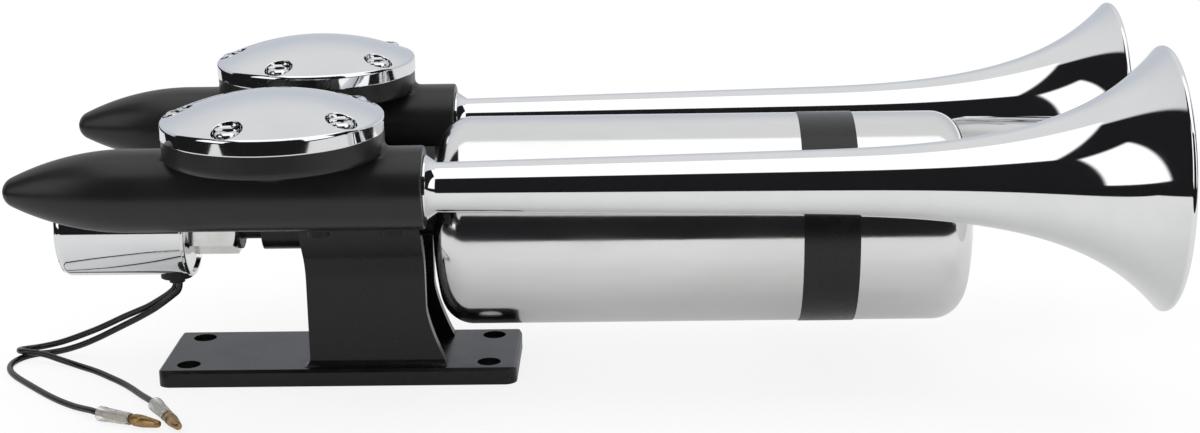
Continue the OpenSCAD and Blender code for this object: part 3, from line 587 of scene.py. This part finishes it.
@dataclass
class Trumpet:
    """One chromed trumpet: a collar, a slim cone, a flared bell and a rolled rim."""

    side: Side
    collar_r: float = 12.3
    collar_l: float = 5.0
    tube_r: float = 9.5
    taper: float = 0.0214
    flare_l: float = 136.0
    wall: float = 1.2
    bead: float = 1.2
    rim_deg: float = 48.0
    lip_l: float = 5.0
    root_r: float = 11.0
    root_l: float = 12.0
    bore_r: float = 8.0
    outer_steps: int = 150
    crowding: float = 1.6
    rim_steps: int = 26
    segments: int = 256
    sharp_deg: float = 40.0

    def __post_init__(self) -> None:
        """Takes the side's own sizes, and ends the curve where the rim's round edge touches it."""
        self.sizes = HORNS[self.side]
        turn = math.radians(self.rim_deg)
        self.curve_l = self.sizes.trumpet_l - self.bead * (1 + math.sin(turn))
        self.rim_r = self.sizes.bell_r - self.bead * (1 - math.cos(turn))

    def radius(self, s: np.ndarray) -> np.ndarray:
        """Outer radius of the trumpet: a cone, plus a flare of 0.7 t^3 + 0.3 t^8.

        Args:
            s: distances from the body.

        Returns:
            The radius at each.
        """
        t = np.clip((s - (self.curve_l - self.flare_l)) / self.flare_l, 0, None)
        rise = self.rim_r - self.tube_r - self.taper * (self.curve_l - self.collar_l)
        return self.tube_r + self.taper * (s - self.collar_l) + rise * (0.7 * t**3 + 0.3 * t**8)

    def profile(self) -> np.ndarray:
        """Closed outline (x, r): outside to the rim, round its edge, and back inside.

        The steps crowd towards the rim, and the wall thickens to the rim's bead as 3 t^2 - 2 t^3.

        Returns:
            Rows of (x, r) in metres.
        """
        step = 0.1
        even = np.linspace(0, 1, self.outer_steps)
        s = self.collar_l + (self.curve_l - self.collar_l) * (1 - (1 - even) ** self.crowding)
        outer = np.stack([s, self.radius(s)], axis=-1)
        slope = np.arctan2(self.radius(s + step / 2) - self.radius(s - step / 2), step)
        near = np.clip(1 - (self.curve_l - s) / self.lip_l, 0, 1)
        thick = self.wall + (2 * self.bead - self.wall) * near**2 * (3 - 2 * near)
        inner = outer + np.stack([np.sin(slope), -np.cos(slope)], axis=-1) * thick[:, None]
        turn = math.degrees(slope[-1])
        centre = (outer[-1] + inner[-1]) / 2
        rim = arc(centre[0], centre[1], self.bead, turn + 90, turn - 90, self.rim_steps)[1:-1]
        root = np.array([
            [-self.root_l, self.bore_r], [-self.root_l, self.root_r], [0, self.root_r],
            [0, self.collar_r - 0.3], [0.3, self.collar_r], [1.0, self.collar_r],
            [1.25, self.collar_r - 0.35], [self.collar_l - 0.6, self.tube_r + 0.25],
        ])
        outline = np.concatenate([root, outer, rim, inner[::-1]])
        return (outline + [self.sizes.body_end, 0.0]) * MM

    def make(self, finishes: Finishes) -> Piece:
        """Builds and dresses the trumpet.

        Args:
            finishes: all finishes.

        Returns:
            The piece.
        """
        place = (0.0, self.side.y * MM, LAYOUT.horn_z * MM)
        shell = revolve(self.profile(), place, segments=self.segments)
        piece = build_object(f"trumpet_skin_{self.side.word}", shell, sharp_deg=self.sharp_deg)
        return finishes.settle(piece, "trumpet_chrome", f"trumpet_{self.side.word}")


# A body's rounded end edge, as (distance before the end, distance inside the radius), in millimetres
END_EDGE = np.array([[0.9, 0.0], [0.6, 0.05], [0.25, 0.25], [0.05, 0.6], [0.0, 0.9]])


@dataclass
class HornBody:
    """Black bullet-shaped body with the round chamber on top."""

    side: Side
    nose_x: float = -118.7
    body_r: float = 16.0
    nose_l: float = 55.0
    tip_r: float = 6.2
    drum_r: float = 41.8
    drum_z0: float = 104.4
    drum_edge: float = 2.5
    root_r: float = 13.0
    flare_r: float = 40.2
    flare_z: float = 104.6
    flare_power: float = 4.6
    fillet: float = 4.0
    fillet_clear: float = 1.0
    fillet_levels: int = 10
    fillet_rounds: int = 40
    fillet_factor: float = 0.5
    tip_steps: int = 16
    side_steps: int = 60
    straight_steps: int = 76
    under_steps: int = 30
    edge_deg: float = -70.0
    edge_steps: int = 8
    wall_steps: int = 9

    def bullet(self) -> np.ndarray:
        """Outline (x, r): a round tip, a long arc that touches it, and the straight body.

        The arc's centre lies at the shoulder, rho - R beyond the axis; the tip's at the distance
        sqrt((rho - r)^2 - (rho - R)^2) in front of the shoulder.

        Returns:
            Rows of (x, r) in metres.
        """
        rho = (self.body_r**2 + self.nose_l**2) / (2 * self.body_r)
        drop = rho - self.body_r
        reach = math.sqrt((rho - self.tip_r) ** 2 - drop**2)
        shoulder = self.nose_x + self.tip_r + reach
        turn = math.degrees(math.atan2(drop, reach))
        tip = arc(shoulder - reach, 0, self.tip_r, 180, 180 - turn, self.tip_steps)
        side = arc(shoulder, -drop, rho, 180 - turn, 90, self.side_steps)[1:]
        x = HORNS[self.side].body_end
        straight = run(shoulder, x - END_EDGE[0, 0], self.body_r, self.straight_steps)
        return np.concatenate([tip, side, straight, [x, self.body_r] - END_EDGE, [[x, 0.0]]]) * MM

    def drum(self) -> np.ndarray:
        """Outline of the chamber: an underside that flares as t^flare_power, an edge, a side.

        Returns:
            Rows of (z, r) in metres.
        """
        t = np.linspace(0, 1, self.under_steps)
        under = np.stack([
            LAYOUT.horn_z + (self.flare_z - LAYOUT.horn_z) * t,
            self.root_r + (self.flare_r - self.root_r) * t**self.flare_power,
        ], axis=-1)
        side_r, side_z = self.drum_r - self.drum_edge, self.drum_z0 + self.drum_edge
        edge = arc(side_r, side_z, self.drum_edge, self.edge_deg, 0, self.edge_steps)[:, ::-1]
        top = LAYOUT.drum_top
        wall = run(side_z, top, self.drum_r, self.wall_steps)
        lid = [[top, self.drum_r], [top, 0.0], [LAYOUT.horn_z, 0.0]]
        return np.concatenate([under, edge, wall, lid]) * MM

    def soften(self, piece: Piece) -> None:
        """Fills the corner between the drum and the body: it smooths the points near both.

        A point's weight falls from 1 to 0 over the fillet's reach, in equal levels.

        Args:
            piece: the body with its chamber.
        """
        xyz = np.empty(len(piece.data.vertices) * 3)
        piece.data.vertices.foreach_get("co", xyz)
        x, y, z = xyz.reshape(-1, 3).T / MM
        y = y - self.side.y
        outline = self.drum()[:-2] / MM
        off_body = np.hypot(y, z - LAYOUT.horn_z) - self.body_r
        off_drum = np.hypot(x - LAYOUT.chamber_x, y) - np.interp(z, outline[:, 0], outline[:, 1])
        near = np.clip(1 - np.maximum(off_body, off_drum) / self.fillet, 0, 1)
        near[(z < LAYOUT.horn_z) | (z > LAYOUT.drum_top - self.fillet_clear)] = 0
        group = piece.vertex_groups.new(name="corner")
        level = np.ceil(near * self.fillet_levels)
        for k in range(1, self.fillet_levels + 1):
            group.add(np.flatnonzero(level == k).tolist(), k / self.fillet_levels, "REPLACE")
        smooth = piece.modifiers.new("corner", "SMOOTH")
        smooth.factor, smooth.iterations = self.fillet_factor, self.fillet_rounds
        smooth.vertex_group = group.name

    def make(self, finishes: Finishes) -> Piece:
        """Builds the two shells, joins them and dresses the body.

        Args:
            finishes: all finishes.

        Returns:
            The piece.
        """
        y = self.side.y * MM
        bullet = revolve(self.bullet(), (0.0, y, LAYOUT.horn_z * MM))
        drum = revolve(self.drum(), (LAYOUT.chamber_x * MM, y, 0.0), upright=True)
        piece = build_object(f"body_skin_{self.side.word}", bullet)
        other = build_object("drum_tool", drum)
        join = piece.modifiers.new("join", "BOOLEAN")
        join.operation, join.object, join.solver = "UNION", other, "EXACT"
        keep_modified(piece)
        bpy.data.objects.remove(other)
        self.soften(piece)
        keep_modified(piece)
        shade(piece.data, SHARP_DEG)
        return finishes.settle(piece, "body_black", f"horn_body_{self.side.word}")


# A cap's recess, as (share of its radius, height over its floor), and its lip, as (share, height
# over the crown), in millimetres
RECESS_FLOOR = np.array([[0.0, 0.0], [0.45, 0.0], [0.9, 0.0], [0.97, 0.05], [1.0, 0.25]])
RECESS_LIP = np.array([[1.0, -0.4], [1.0, -0.2], [1.02, -0.06], [1.06, 0.0]])


@dataclass
class Cap:
    """Chromed chamber cap: a shallow crown with a round recess at each screw."""

    side: Side
    cap_r: float = 42.1
    rim_z: float = 118.2
    top_z: float = 128.5
    crown_r: float = 100.0
    shoulder_r: float = 40.5
    seat_z: float = 115.6
    inner_r: float = 31.6
    skirt_r: float = 41.85
    skirt_drop: float = 1.0
    screws: int = 5
    first_deg: float = 36.5
    pitch: float = 35.6
    recess_r: float = 5.8
    floor_z: float = 118.4
    lip_low: float = 0.3
    edge: float = 0.2
    line_steps: int = 30
    arc_steps: int = 28
    crowding: float = 1.6
    ring_steps: int = 19
    ring_crowding: float = 1.5
    sharp_deg: float = 38.0

    def height(self, r: np.ndarray) -> np.ndarray:
        """Height of the top: a sphere's sqrt(rho^2 - r^2), which rolls down to the rim.

        Args:
            r: distances from the cap's axis.

        Returns:
            The height at each.
        """
        centre = self.top_z - self.crown_r
        crown = centre + np.sqrt(self.crown_r**2 - np.minimum(r, self.shoulder_r) ** 2)
        edge = centre + math.sqrt(self.crown_r**2 - self.shoulder_r**2)
        t = np.clip((r - self.shoulder_r) / (self.cap_r - self.shoulder_r), 0, 1)
        roll = self.rim_z + (edge - self.rim_z) * np.sqrt(np.clip(1 - t**2, 0, 1))
        return np.where(t > 0, roll, crown)

    def outline(self) -> np.ndarray:
        """Closed outline of one screw's fifth: an arc of the rim and two sides to the centre.

        Returns:
            Rows of (x, y), with the screw on the +X axis.
        """
        half = math.pi / self.screws
        along = np.linspace(0, 1, self.line_steps + 1)[:, None] ** self.crowding
        corner = self.cap_r * np.array([math.cos(half), math.sin(half)])
        bow = arc(0, 0, self.cap_r, -180 / self.screws, 180 / self.screws, self.arc_steps)
        back = corner * [1, -1] * (1 - along)
        return np.concatenate([bow[:-1], (corner * (1 - along))[:-1], back[:0:-1]])

    def sector(self) -> Shell:
        """One screw's fifth of the crown with its recess, on rings that grow from the screw.

        The first rings lie on the recess's floor, the next climb its wall and round its lip.

        Returns:
            Points and quads, with the screw on the +X axis.
        """
        outline = self.outline()
        centre = np.array([self.pitch, 0.0])
        reach = np.linalg.norm(outline - centre, axis=1, keepdims=True)
        heading = (outline - centre) / reach
        recess = np.concatenate([RECESS_FLOOR, RECESS_LIP])[:, :1, None]
        inner = centre + heading * recess * self.recess_r
        low = self.height(np.linalg.norm(inner, axis=-1))
        k = len(RECESS_FLOOR)
        low[:k] = self.floor_z + RECESS_FLOOR[:, 1:]
        low[k:] = np.maximum(low[k:] + RECESS_LIP[:, 1:], self.floor_z + self.lip_low)
        start = RECESS_LIP[-1, 0] * self.recess_r
        share = 1 - (1 - np.linspace(0, 1, self.ring_steps)[1:, None, None]) ** self.ring_crowding
        outer = centre + heading * (start + (reach - start) * share)
        high = self.height(np.minimum(np.linalg.norm(outer, axis=-1), self.cap_r))
        z = np.concatenate([low, high])[..., None]
        xyz = np.concatenate([np.concatenate([inner, outer]), z], axis=-1)
        return xyz, grid_quads(len(xyz), len(outline), False)

    def skirt(self) -> Shell:
        """The upright rim and the underside, on the same points of the rim as the crown.

        Returns:
            Points and quads about the cap's axis.
        """
        half = math.pi / self.screws
        angle = np.linspace(-half, half, self.arc_steps + 1)[:-1]
        turns = np.arange(self.screws)[:, None] * 2 * half
        a = (angle[None, :] + turns).ravel() + math.radians(self.first_deg)
        low, top = LAYOUT.drum_top - self.skirt_drop, LAYOUT.drum_top + self.edge / 2
        profile = np.array([
            [self.rim_z, self.cap_r], [self.rim_z - self.edge, self.cap_r],
            [low + 2 * self.edge, self.cap_r], [low + self.edge, self.cap_r],
            [low, self.cap_r - self.edge / 2], [low, self.skirt_r], [top, self.skirt_r],
            [top, self.inner_r], [self.seat_z, self.inner_r], [self.seat_z, 0.0],
        ])
        z, r = profile[:, :1], profile[:, 1:]
        xyz = np.stack([r * np.cos(a), r * np.sin(a), z + 0 * a], axis=-1)
        return xyz, grid_quads(len(profile), len(a), False)

    def make(self, finishes: Finishes) -> Piece:
        """Builds and dresses the cap.

        Args:
            finishes: all finishes.

        Returns:
            The piece.
        """
        place = np.array([LAYOUT.chamber_x, self.side.y, 0.0])
        xyz, quads = self.sector()
        turns = [self.first_deg + 360 * k / self.screws for k in range(self.screws)]
        shells = [((turn_z(xyz, turn) + place) * MM, quads) for turn in turns]
        ring, faces = self.skirt()
        shells.append(((ring + place) * MM, faces))
        piece = build_object(f"cap_skin_{self.side.word}", *shells, sharp_deg=self.sharp_deg)
        return finishes.settle(piece, "cap_chrome", f"cap_{self.side.word}")


@dataclass
class Tank:
    """Polished air tank with domed ends and a plain band."""

    r: float = 42.3
    x: float = 39.6
    length: float = 218.0
    knuckle: float = 13.0
    crown_r: float = 150.0
    boss_l: float = 8.0
    neck_r: float = 6.3
    band_x: float = 187.5
    band_w: float = 22.0
    band_t: float = 0.2
    band_chamfer: tuple[float, float] = (0.1, 0.08)
    gap: float = 0.1
    crown_steps: int = 16
    knuckle_steps: int = 24
    side_steps: int = 40
    segments: int = 256

    def end(self) -> np.ndarray:
        """Outline of one domed end: a crown arc, then a knuckle arc.

        Returns:
            Rows of (x, r) in millimetres, with the crown at 0.
        """
        side, reach = self.r - self.knuckle, self.crown_r - self.knuckle
        turn = math.degrees(math.asin(side / reach))
        dome = self.crown_r - math.sqrt(reach**2 - side**2)
        crown = arc(self.crown_r, 0, self.crown_r, 180, 180 - turn, self.crown_steps)
        corner = arc(dome, side, self.knuckle, 180 - turn, 90, self.knuckle_steps)
        return np.concatenate([crown, corner[1:]])

    def profile(self) -> np.ndarray:
        """Closed outline, with the neck's hole at the near end.

        Returns:
            Rows of (x, r) in metres.
        """
        end = self.end()
        near = end[end[:, 1] > self.neck_r] + [self.x, 0]
        far = np.column_stack([self.x + self.length - end[::-1, 0], end[::-1, 1]])
        deep = near[0, 0] + self.boss_l
        hole = np.array([[deep, 0.0], [deep, self.neck_r], [near[0, 0], self.neck_r]])
        side = run(near[-1, 0], far[0, 0], self.r, self.side_steps)
        return np.concatenate([hole, near, side, far]) * MM

    def make(self, finishes: Finishes) -> None:
        """Builds and dresses the tank and its band.

        Args:
            finishes: all finishes.
        """
        place = (0.0, 0.0, LAYOUT.axis_z * MM)
        tank = build_object("tank_skin", revolve(self.profile(), place, segments=self.segments))
        finishes.settle(tank, "tank_chrome", "tank")
        low, high = self.r + self.gap / 2, self.r + self.gap + self.band_t
        x0, x1 = self.band_x, self.band_x + self.band_w
        along, down = self.band_chamfer
        ring = np.array([
            [x0, low], [x0, high - down], [x0 + along, high],
            [x1 - along, high], [x1, high - down], [x1, low],
        ])
        band = build_object("band_skin", revolve(ring * MM, place, segments=self.segments))
        finishes.settle(band, "band_black", "tank_band")


# The can's bead, as (distance before its mouth, height over its side), in millimetres
CAN_BEAD = np.array([[1.8, 0.0], [1.5, 0.35], [1.2, 0.6], [0.5, 0.6], [0.15, 0.35], [0.0, 0.0]])


@dataclass
class SolenoidCan:
    """Chromed can of the solenoid with its rounded end and its bead."""

    r: float = 21.0
    x0: float = -112.5
    x1: float = -59.3
    edge: float = 4.0
    wall: float = 1.0
    edge_steps: int = 12
    segments: int = 160

    def make(self, finishes: Finishes) -> Piece:
        """Builds and dresses the can.

        Args:
            finishes: all finishes.

        Returns:
            The piece.
        """
        inside = self.r - self.wall
        outline = np.concatenate([
            [[self.x0, 0.0]],
            arc(self.x0 + self.edge, self.r - self.edge, self.edge, 180, 90, self.edge_steps),
            [self.x1, self.r] + CAN_BEAD * [-1, 1],
            [[self.x1, inside], [self.x0 + self.wall, inside], [self.x0 + self.wall, 0.0]],
        ])
        shell = revolve(outline * MM, (0.0, 0.0, LAYOUT.axis_z * MM), segments=self.segments)
        piece = build_object("can_skin", shell)
        return finishes.settle(piece, "can_chrome", "valve_can")


# The wires' routes, as in the part's source, in millimetres
WIRE_A = (
    (-68.7, 1.6, 37.4), (-68.7, 1.6, 36.8), (-68.9, 1.6, 35.5), (-69.4, 1.6, 34.3),
    (-70.2, 1.6, 33.2), (-72.8, 2, 31.1), (-76.4, 2.6, 28.7), (-81.3, 3.6, 25.7), (-86, 4.8, 23.4),
    (-92.8, 6.9, 20.1), (-99.4, 9.1, 16.6), (-105.6, 11.3, 13.4), (-111.8, 13.6, 10.5),
    (-117.6, 15.7, 7.9), (-123.4, 17.9, 5.5), (-129.2, 19.8, 3.6), (-134, 20.5, 2.5),
    (-138.1, 19.3, 2.3), (-140.2, 15.9, 3), (-139.6, 12, 3.8), (-136.3, 9.5, 4.2),
    (-131.2, 8, 4.1), (-126.4, 6.4, 3.6), (-121.4, 3.9, 2.8), (-115.4, 1, 1.9),
    (-109.6, -2.6, 1.4), (-104, -6.8, 1.3), (-99.2, -11.2, 1.3), (-94.7, -15.8, 1.3),
    (-90.4, -20.2, 1.3), (-86.3, -24.8, 1.3), (-82.5, -29.8, 1.4), (-79, -35.2, 1.7),
    (-75.4, -41, 2.2), (-71.9, -46.5, 2.8), (-68.9, -51.1, 3.1), (-66, -56, 3.1),
)
WIRE_B = (
    (-66.5, -1.5, 37.4), (-66.5, -1.5, 36.8), (-66.7, -1.5, 35.5), (-67.2, -1.5, 34.3),
    (-68, -1.4, 33.2), (-70.8, -1.3, 31), (-74.6, -0.6, 28.1), (-78.9, 0.8, 25), (-86, 3.4, 20.6),
    (-93.6, 6.1, 16.3), (-99.6, 8.3, 12.9), (-105.6, 10.4, 9.6), (-111.9, 12.5, 6.5),
    (-117.4, 14.3, 4.2), (-122.8, 15.8, 2.4), (-127.8, 16.4, 1.4), (-132.4, 15.2, 1.3),
    (-136.4, 12.4, 1.3), (-139.1, 8.2, 1.3), (-140.4, 3, 1.3), (-139.9, -2.5, 1.3),
    (-137.8, -7.9, 1.3), (-134.4, -13.3, 1.3), (-130, -18.9, 1.3), (-125.3, -24.5, 1.3),
    (-120.6, -30, 1.3), (-115.7, -35.6, 1.3), (-110.6, -41, 1.3), (-105.4, -46.1, 1.4),
    (-100.4, -50.8, 1.7), (-95.9, -55, 2.3), (-91.8, -58.7, 2.9), (-88.2, -61.8, 3.1),
    (-84.5, -64, 3.1),
)


@dataclass
class Wire:
    """One soft wire with its clear sleeve and its bullet terminal."""

    letter: str
    route: Sequence[Triple]
    heading_deg: float
    diameter: float = 2.6
    inside: float = 3.0
    sleeve_l: float = 15.0
    sleeve_r: float = 3.0
    sleeve_thin: float = 2.4
    sleeve_wall: float = 0.5
    barrel_r: float = 1.8
    bullet_r: float = 2.4
    bullet_out: float = 14.0
    per_span: int = 6
    sides: int = 20
    turned_sides: int = 48
    pieces: list[Piece] = field(default_factory=list)

    def along(self, profile: np.ndarray, name: str, slot: str, finishes: Finishes) -> None:
        """Turns a closed outline about the terminal's own line and keeps it as a piece.

        Args:
            profile: rows of (distance past the wire's end, radius), in millimetres.
            name: the piece's name, without the wire's letter.
            slot: its finish.
            finishes: all finishes.
        """
        xyz, quads = revolve(profile * MM, (0.0, 0.0, 0.0), segments=self.turned_sides)
        xyz = turn_z(xyz.reshape(-1, 3), self.heading_deg) + np.array(self.route[-1]) * MM
        piece = build_object(f"{name}_skin_{self.letter}", (xyz, quads))
        self.pieces.append(finishes.settle(piece, slot, f"{name}_{self.letter}"))

    def sleeve(self) -> np.ndarray:
        """Outline of the sleeve, a little wider where the wire goes in.

        Returns:
            Rows of (distance past the wire's end, radius), in millimetres.
        """
        end, thick, thin = self.sleeve_l - self.inside, self.sleeve_r, self.sleeve_thin
        return np.array([
            [-self.inside, thick - 0.1], [-self.inside + 0.15, thick], [0.0, thick - 0.12],
            [1.0, thick - 0.25], [end - 2.0, thin + 0.06], [end - 0.15, thin], [end, thin - 0.1],
            [end, thin - self.sleeve_wall], [-self.inside, thick - self.sleeve_wall],
        ])

    def bullet(self) -> np.ndarray:
        """Outline of the terminal: a barrel, a swelling, a groove and a cone with a blunt tip.

        Returns:
            Rows of (distance past the wire's end, radius), in millimetres.
        """
        x, r, thin = self.sleeve_l - self.inside, self.bullet_r, self.barrel_r
        tip = x + self.bullet_out
        return np.array([
            [0, 0], [0, thin - 0.2], [0.2, thin], [x + 1.0, thin], [x + 1.8, r - 0.12], [x + 2.6, r],
            [x + 5.4, r], [x + 5.7, r - 0.16], [x + 6.0, r - 0.16], [x + 6.3, r - 0.04],
            [tip - 1.4, r - 0.85], [tip - 0.6, r - 1.0], [tip - 0.15, r - 1.2], [tip, r - 1.5],
            [tip, 0],
        ])

    def make(self, finishes: Finishes) -> None:
        """Args:
            finishes: all finishes.
        """
        radius = self.diameter / 2 * MM
        path = smooth_path(np.array(self.route, float) * MM, self.per_span)
        path[:, 2] = np.maximum(path[:, 2], radius)
        shell = tube_shell(path, radius, self.sides)
        wire = build_object(f"wire_skin_{self.letter}", shell, sharp_deg=TUBE_SHARP_DEG)
        finishes.settle(wire, "wire_black", f"wire_{self.letter}")
        self.along(self.sleeve(), "sleeve", "sleeve_clear", finishes)
        self.along(self.bullet(), "bullet", "bullet_brass", finishes)


@dataclass
class Spring:
    """The plunger's return spring."""

    r: float = 2.6
    wire_r: float = 0.45
    turns: int = 6
    steps: int = 36
    sides: int = 12
    joint: str = "valve_stroke"
    stroke: float = 2.5

    def make(self, finishes: Finishes) -> Piece:
        """Builds the spring, a tube along a helix (x, r cos a, r sin a) with x growing with a.

        Args:
            finishes: all finishes.

        Returns:
            The piece.
        """
        low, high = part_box("plunger_spring")
        a = np.linspace(0, 2 * math.pi * self.turns, self.turns * self.steps + 1)
        x = np.linspace(low[0] + self.wire_r * MM, high[0] - self.wire_r * MM, len(a))
        y, z = self.r * MM * np.cos(a), LAYOUT.axis_z * MM + self.r * MM * np.sin(a)
        path = np.column_stack([x, y, z])
        shell = tube_shell(path, self.wire_r * MM, self.sides)
        piece = build_object("spring_skin", shell, sharp_deg=TUBE_SHARP_DEG)
        finishes.settle(piece, "spring_steel", "plunger_spring")
        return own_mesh(piece)


@dataclass(frozen=True)
class LitArea:
    """A lit area: the directions d with n . d > c for each of its sides (n, c, softness)."""

    colour: Triple
    sides: tuple[tuple[Triple, float, float], ...]


BOX_WHITE = (1.25, 1.25, 1.25)


def side_box(sign: float) -> LitArea:
    """The tall softbox on the left, with sign -1, or on the right, with sign 1."""
    sides = (
        ((sign, 0.87, 0.0), 0.0, 0.03), ((-sign, -3.27, 0.0), 0.0, 0.08),
        ((0.8 * sign, -0.51, -1.0), 0.0, 0.04), ((0.0, 0.0, 1.0), 0.05, 0.01),
    )
    return LitArea(BOX_WHITE, sides)


# The room that glossy rays see: the backdrop, its paler upper part, the box overhead, two side boxes
ROOM = (
    LitArea((0.58, 0.61, 0.67), (((0.0, 1.0, 0.0), 0.26, 0.03),)),
    LitArea((0.78, 0.785, 0.79), (((0.0, 1.0, 0.0), 0.26, 0.03), ((0.0, 0.0, 1.0), 0.42, 0.24))),
    LitArea(BOX_WHITE, (((1.0, 0.0, 0.5), 0.0, 0.02), ((-1.0, 0.0, 1.0), 0.0, 0.02),
                        ((0.0, 1.0, 0.75), 0.0, 0.02), ((0.0, -1.0, 0.38), 0.0, 0.02))),
    side_box(-1.0),
    side_box(1.0),
)


@dataclass
class Studio:
    """Pale floor, soft light, and the camera of the photograph's view."""

    sensor: float = 36.0
    clip: tuple[float, float] = (0.05, 20.0)
    lens: float = 63.165
    yaw: float = -0.0202
    pitch: float = 0.2661
    roll: float = -0.0169
    eye: Triple = (0.12416, -0.8297, 0.28924)
    floor_reach: float = 3.0
    floor_grey: float = 0.86
    floor_rough: float = 0.75
    table_edge: float = -0.45
    white_share: float = 0.84
    mirror_share: float = 0.5
    mirror_level: float = 0.55
    dark: Triple = (0.012, 0.012, 0.014)
    white: Triple = (1.0, 1.0, 1.0)
    lamp_place: Triple = (0.1, 0.1, 1.3)
    lamp_aim: Triple = (0.1, 0.0, 0.05)
    lamp_size: tuple[float, float] = (2.2, 1.2)
    lamp_watts: float = 9.0

    def camera(self) -> None:
        """Makes the camera from its place, yaw, pitch and roll."""
        flat, east, north = math.cos(self.pitch), math.sin(self.yaw), math.cos(self.yaw)
        ahead = np.array([east * flat, north * flat, -math.sin(self.pitch)])
        level = np.array([north, -east, 0.0])
        up = np.cross(level, ahead)
        right = level * math.cos(self.roll) + up * math.sin(self.roll)
        top = -level * math.sin(self.roll) + up * math.cos(self.roll)
        data = bpy.data.cameras.new("camera")
        data.lens, data.sensor_width, data.sensor_fit = self.lens, self.sensor, "HORIZONTAL"
        data.clip_start, data.clip_end = self.clip
        camera = add_object("camera", data)
        camera.matrix_world = placed(right, top, -ahead, self.eye)
        bpy.context.scene.camera = camera

    def floor(self) -> None:
        """Makes the pale floor: white to the camera, and a grey table with two edges to glossy rays.

        It is clear from below, so that the underside can be looked at.
        """
        reach = self.floor_reach
        mesh = bpy.data.meshes.new("floor")
        corners = [(-reach, -reach, 0), (reach, -reach, 0), (reach, reach, 0), (-reach, reach, 0)]
        mesh.from_pydata(corners, [], [(0, 1, 2, 3)])
        floor = add_object("floor", mesh)
        material = bpy.data.materials.new("floor")
        material.use_nodes = True
        tree = Sockets(material.node_tree)
        shader = material.node_tree.nodes["Principled BSDF"]
        shader.inputs["Base Color"].default_value = (*[self.floor_grey] * 3, 1.0)
        shader.inputs["Roughness"].default_value = self.floor_rough
        ray = tree.node("ShaderNodeLightPath").outputs
        place = tree.node("ShaderNodeTexCoord").outputs["Object"]
        split = tree.node("ShaderNodeSeparateXYZ", in_Vector=place).outputs
        past = [tree.maths("GREATER_THAN", split[axis], self.table_edge) for axis in "XY"]
        table = tree.maths("MULTIPLY", *past)
        seen = tree.maths("MAXIMUM", ray["Is Camera Ray"], ray["Is Transmission Ray"])
        glossy = ray["Is Glossy Ray"]
        off = tree.maths("SUBTRACT", 1.0, tree.maths("MULTIPLY", table, 1.0 - self.mirror_share))
        white = tree.maths("MULTIPLY", seen, self.white_share)
        share = tree.maths("MAXIMUM", white, tree.maths("MULTIPLY", glossy, off))
        mirror = tree.maths("ADD", tree.maths("MULTIPLY", table, self.mirror_level), self.dark[0])
        level = tree.maths("MAXIMUM", seen, tree.maths("MULTIPLY", glossy, mirror))
        glow = tree.node("ShaderNodeEmission", in_Color=(*self.white, 1.0), in_Strength=level)
        above = tree.shaders(share, shader.outputs[0], glow.outputs[0])
        below = tree.node("ShaderNodeNewGeometry").outputs["Backfacing"]
        surface = tree.shaders(below, above, tree.node("ShaderNodeBsdfTransparent").outputs[0])
        tree.feed(surface, material.node_tree.nodes["Material Output"].inputs["Surface"])
        mesh.materials.append(material)

    @staticmethod
    def inside(tree: Sockets, heading: Socket, area: LitArea) -> Socket:
        """Mask of one lit area: the product of a soft step at each of its sides.

        Args:
            tree: the world's tree.
            heading: the ray's direction.
            area: the lit area.

        Returns:
            The mask's socket.
        """
        mask: object = 1.0
        for normal, level, soft in area.sides:
            dot = tree.node("ShaderNodeVectorMath", operation="DOT_PRODUCT")
            tree.feed(heading, dot.inputs[0])
            tree.feed(normal, dot.inputs[1])
            step = tree.node("ShaderNodeMapRange", interpolation_type="SMOOTHSTEP",
                             in_Value=dot.outputs["Value"], in_From_Min=level - soft,
                             in_From_Max=level + soft)
            mask = tree.maths("MULTIPLY", step.outputs["Result"], mask)
        return mask

    def world(self) -> None:
        """White all round, but to glossy rays a dark room with a pale backdrop and softboxes."""
        world = bpy.data.worlds.new("studio")
        bpy.context.scene.world = world
        world.use_nodes = True
        tree = Sockets(world.node_tree)
        heading = tree.node("ShaderNodeTexCoord").outputs["Generated"]
        room: object = self.dark
        for area in ROOM:
            room = tree.blend(self.inside(tree, heading, area), room, area.colour)
        glossy = tree.node("ShaderNodeLightPath").outputs["Is Glossy Ray"]
        seen = tree.blend(glossy, self.white, room)
        tree.feed(seen, world.node_tree.nodes["Background"].inputs["Color"])

    def lamp(self) -> None:
        """Hangs the soft lamp, a rectangle overhead that glossy rays don't see."""
        data = bpy.data.lights.new("softbox_top", "AREA")
        data.shape, data.energy = "RECTANGLE", self.lamp_watts
        data.size, data.size_y = self.lamp_size
        lamp = add_object("softbox_top", data)
        lamp.visible_glossy = False
        ahead = np.array(self.lamp_aim) - np.array(self.lamp_place)
        ahead /= np.linalg.norm(ahead)
        across = np.cross(ahead, [0.0, 1.0, 0.0])
        across /= np.linalg.norm(across)
        lamp.matrix_world = placed(across, np.cross(across, ahead), -ahead, self.lamp_place)

    def make(self) -> None:
        """Sets up the floor, the world and the lamp."""
        self.floor()
        self.world()
        self.lamp()
        bpy.context.scene.view_settings.view_transform = "Standard"


def main() -> None:
    """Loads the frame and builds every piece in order."""
    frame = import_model()
    studio = Studio()
    studio.camera()
    finishes = Finishes()
    finishes.dress_nodes(frame["nodes"], frame["record"])
    Wire("a", WIRE_A, -60.0).make(finishes)
    Wire("b", WIRE_B, -26.0).make(finishes)
    Bracket().make(frame["nodes"]["bracket"], finishes)
    for side in Side:
        Trumpet(side).make(finishes)
        HornBody(side).make(finishes)
        Cap(side).make(finishes)
    Tank().make(finishes)
    SolenoidCan().make(finishes)
    Spring().make(finishes)
    studio.make()


if __name__ == "__main__":
    logging.basicConfig(level=logging.INFO, format="%(name)s %(message)s")
    main()
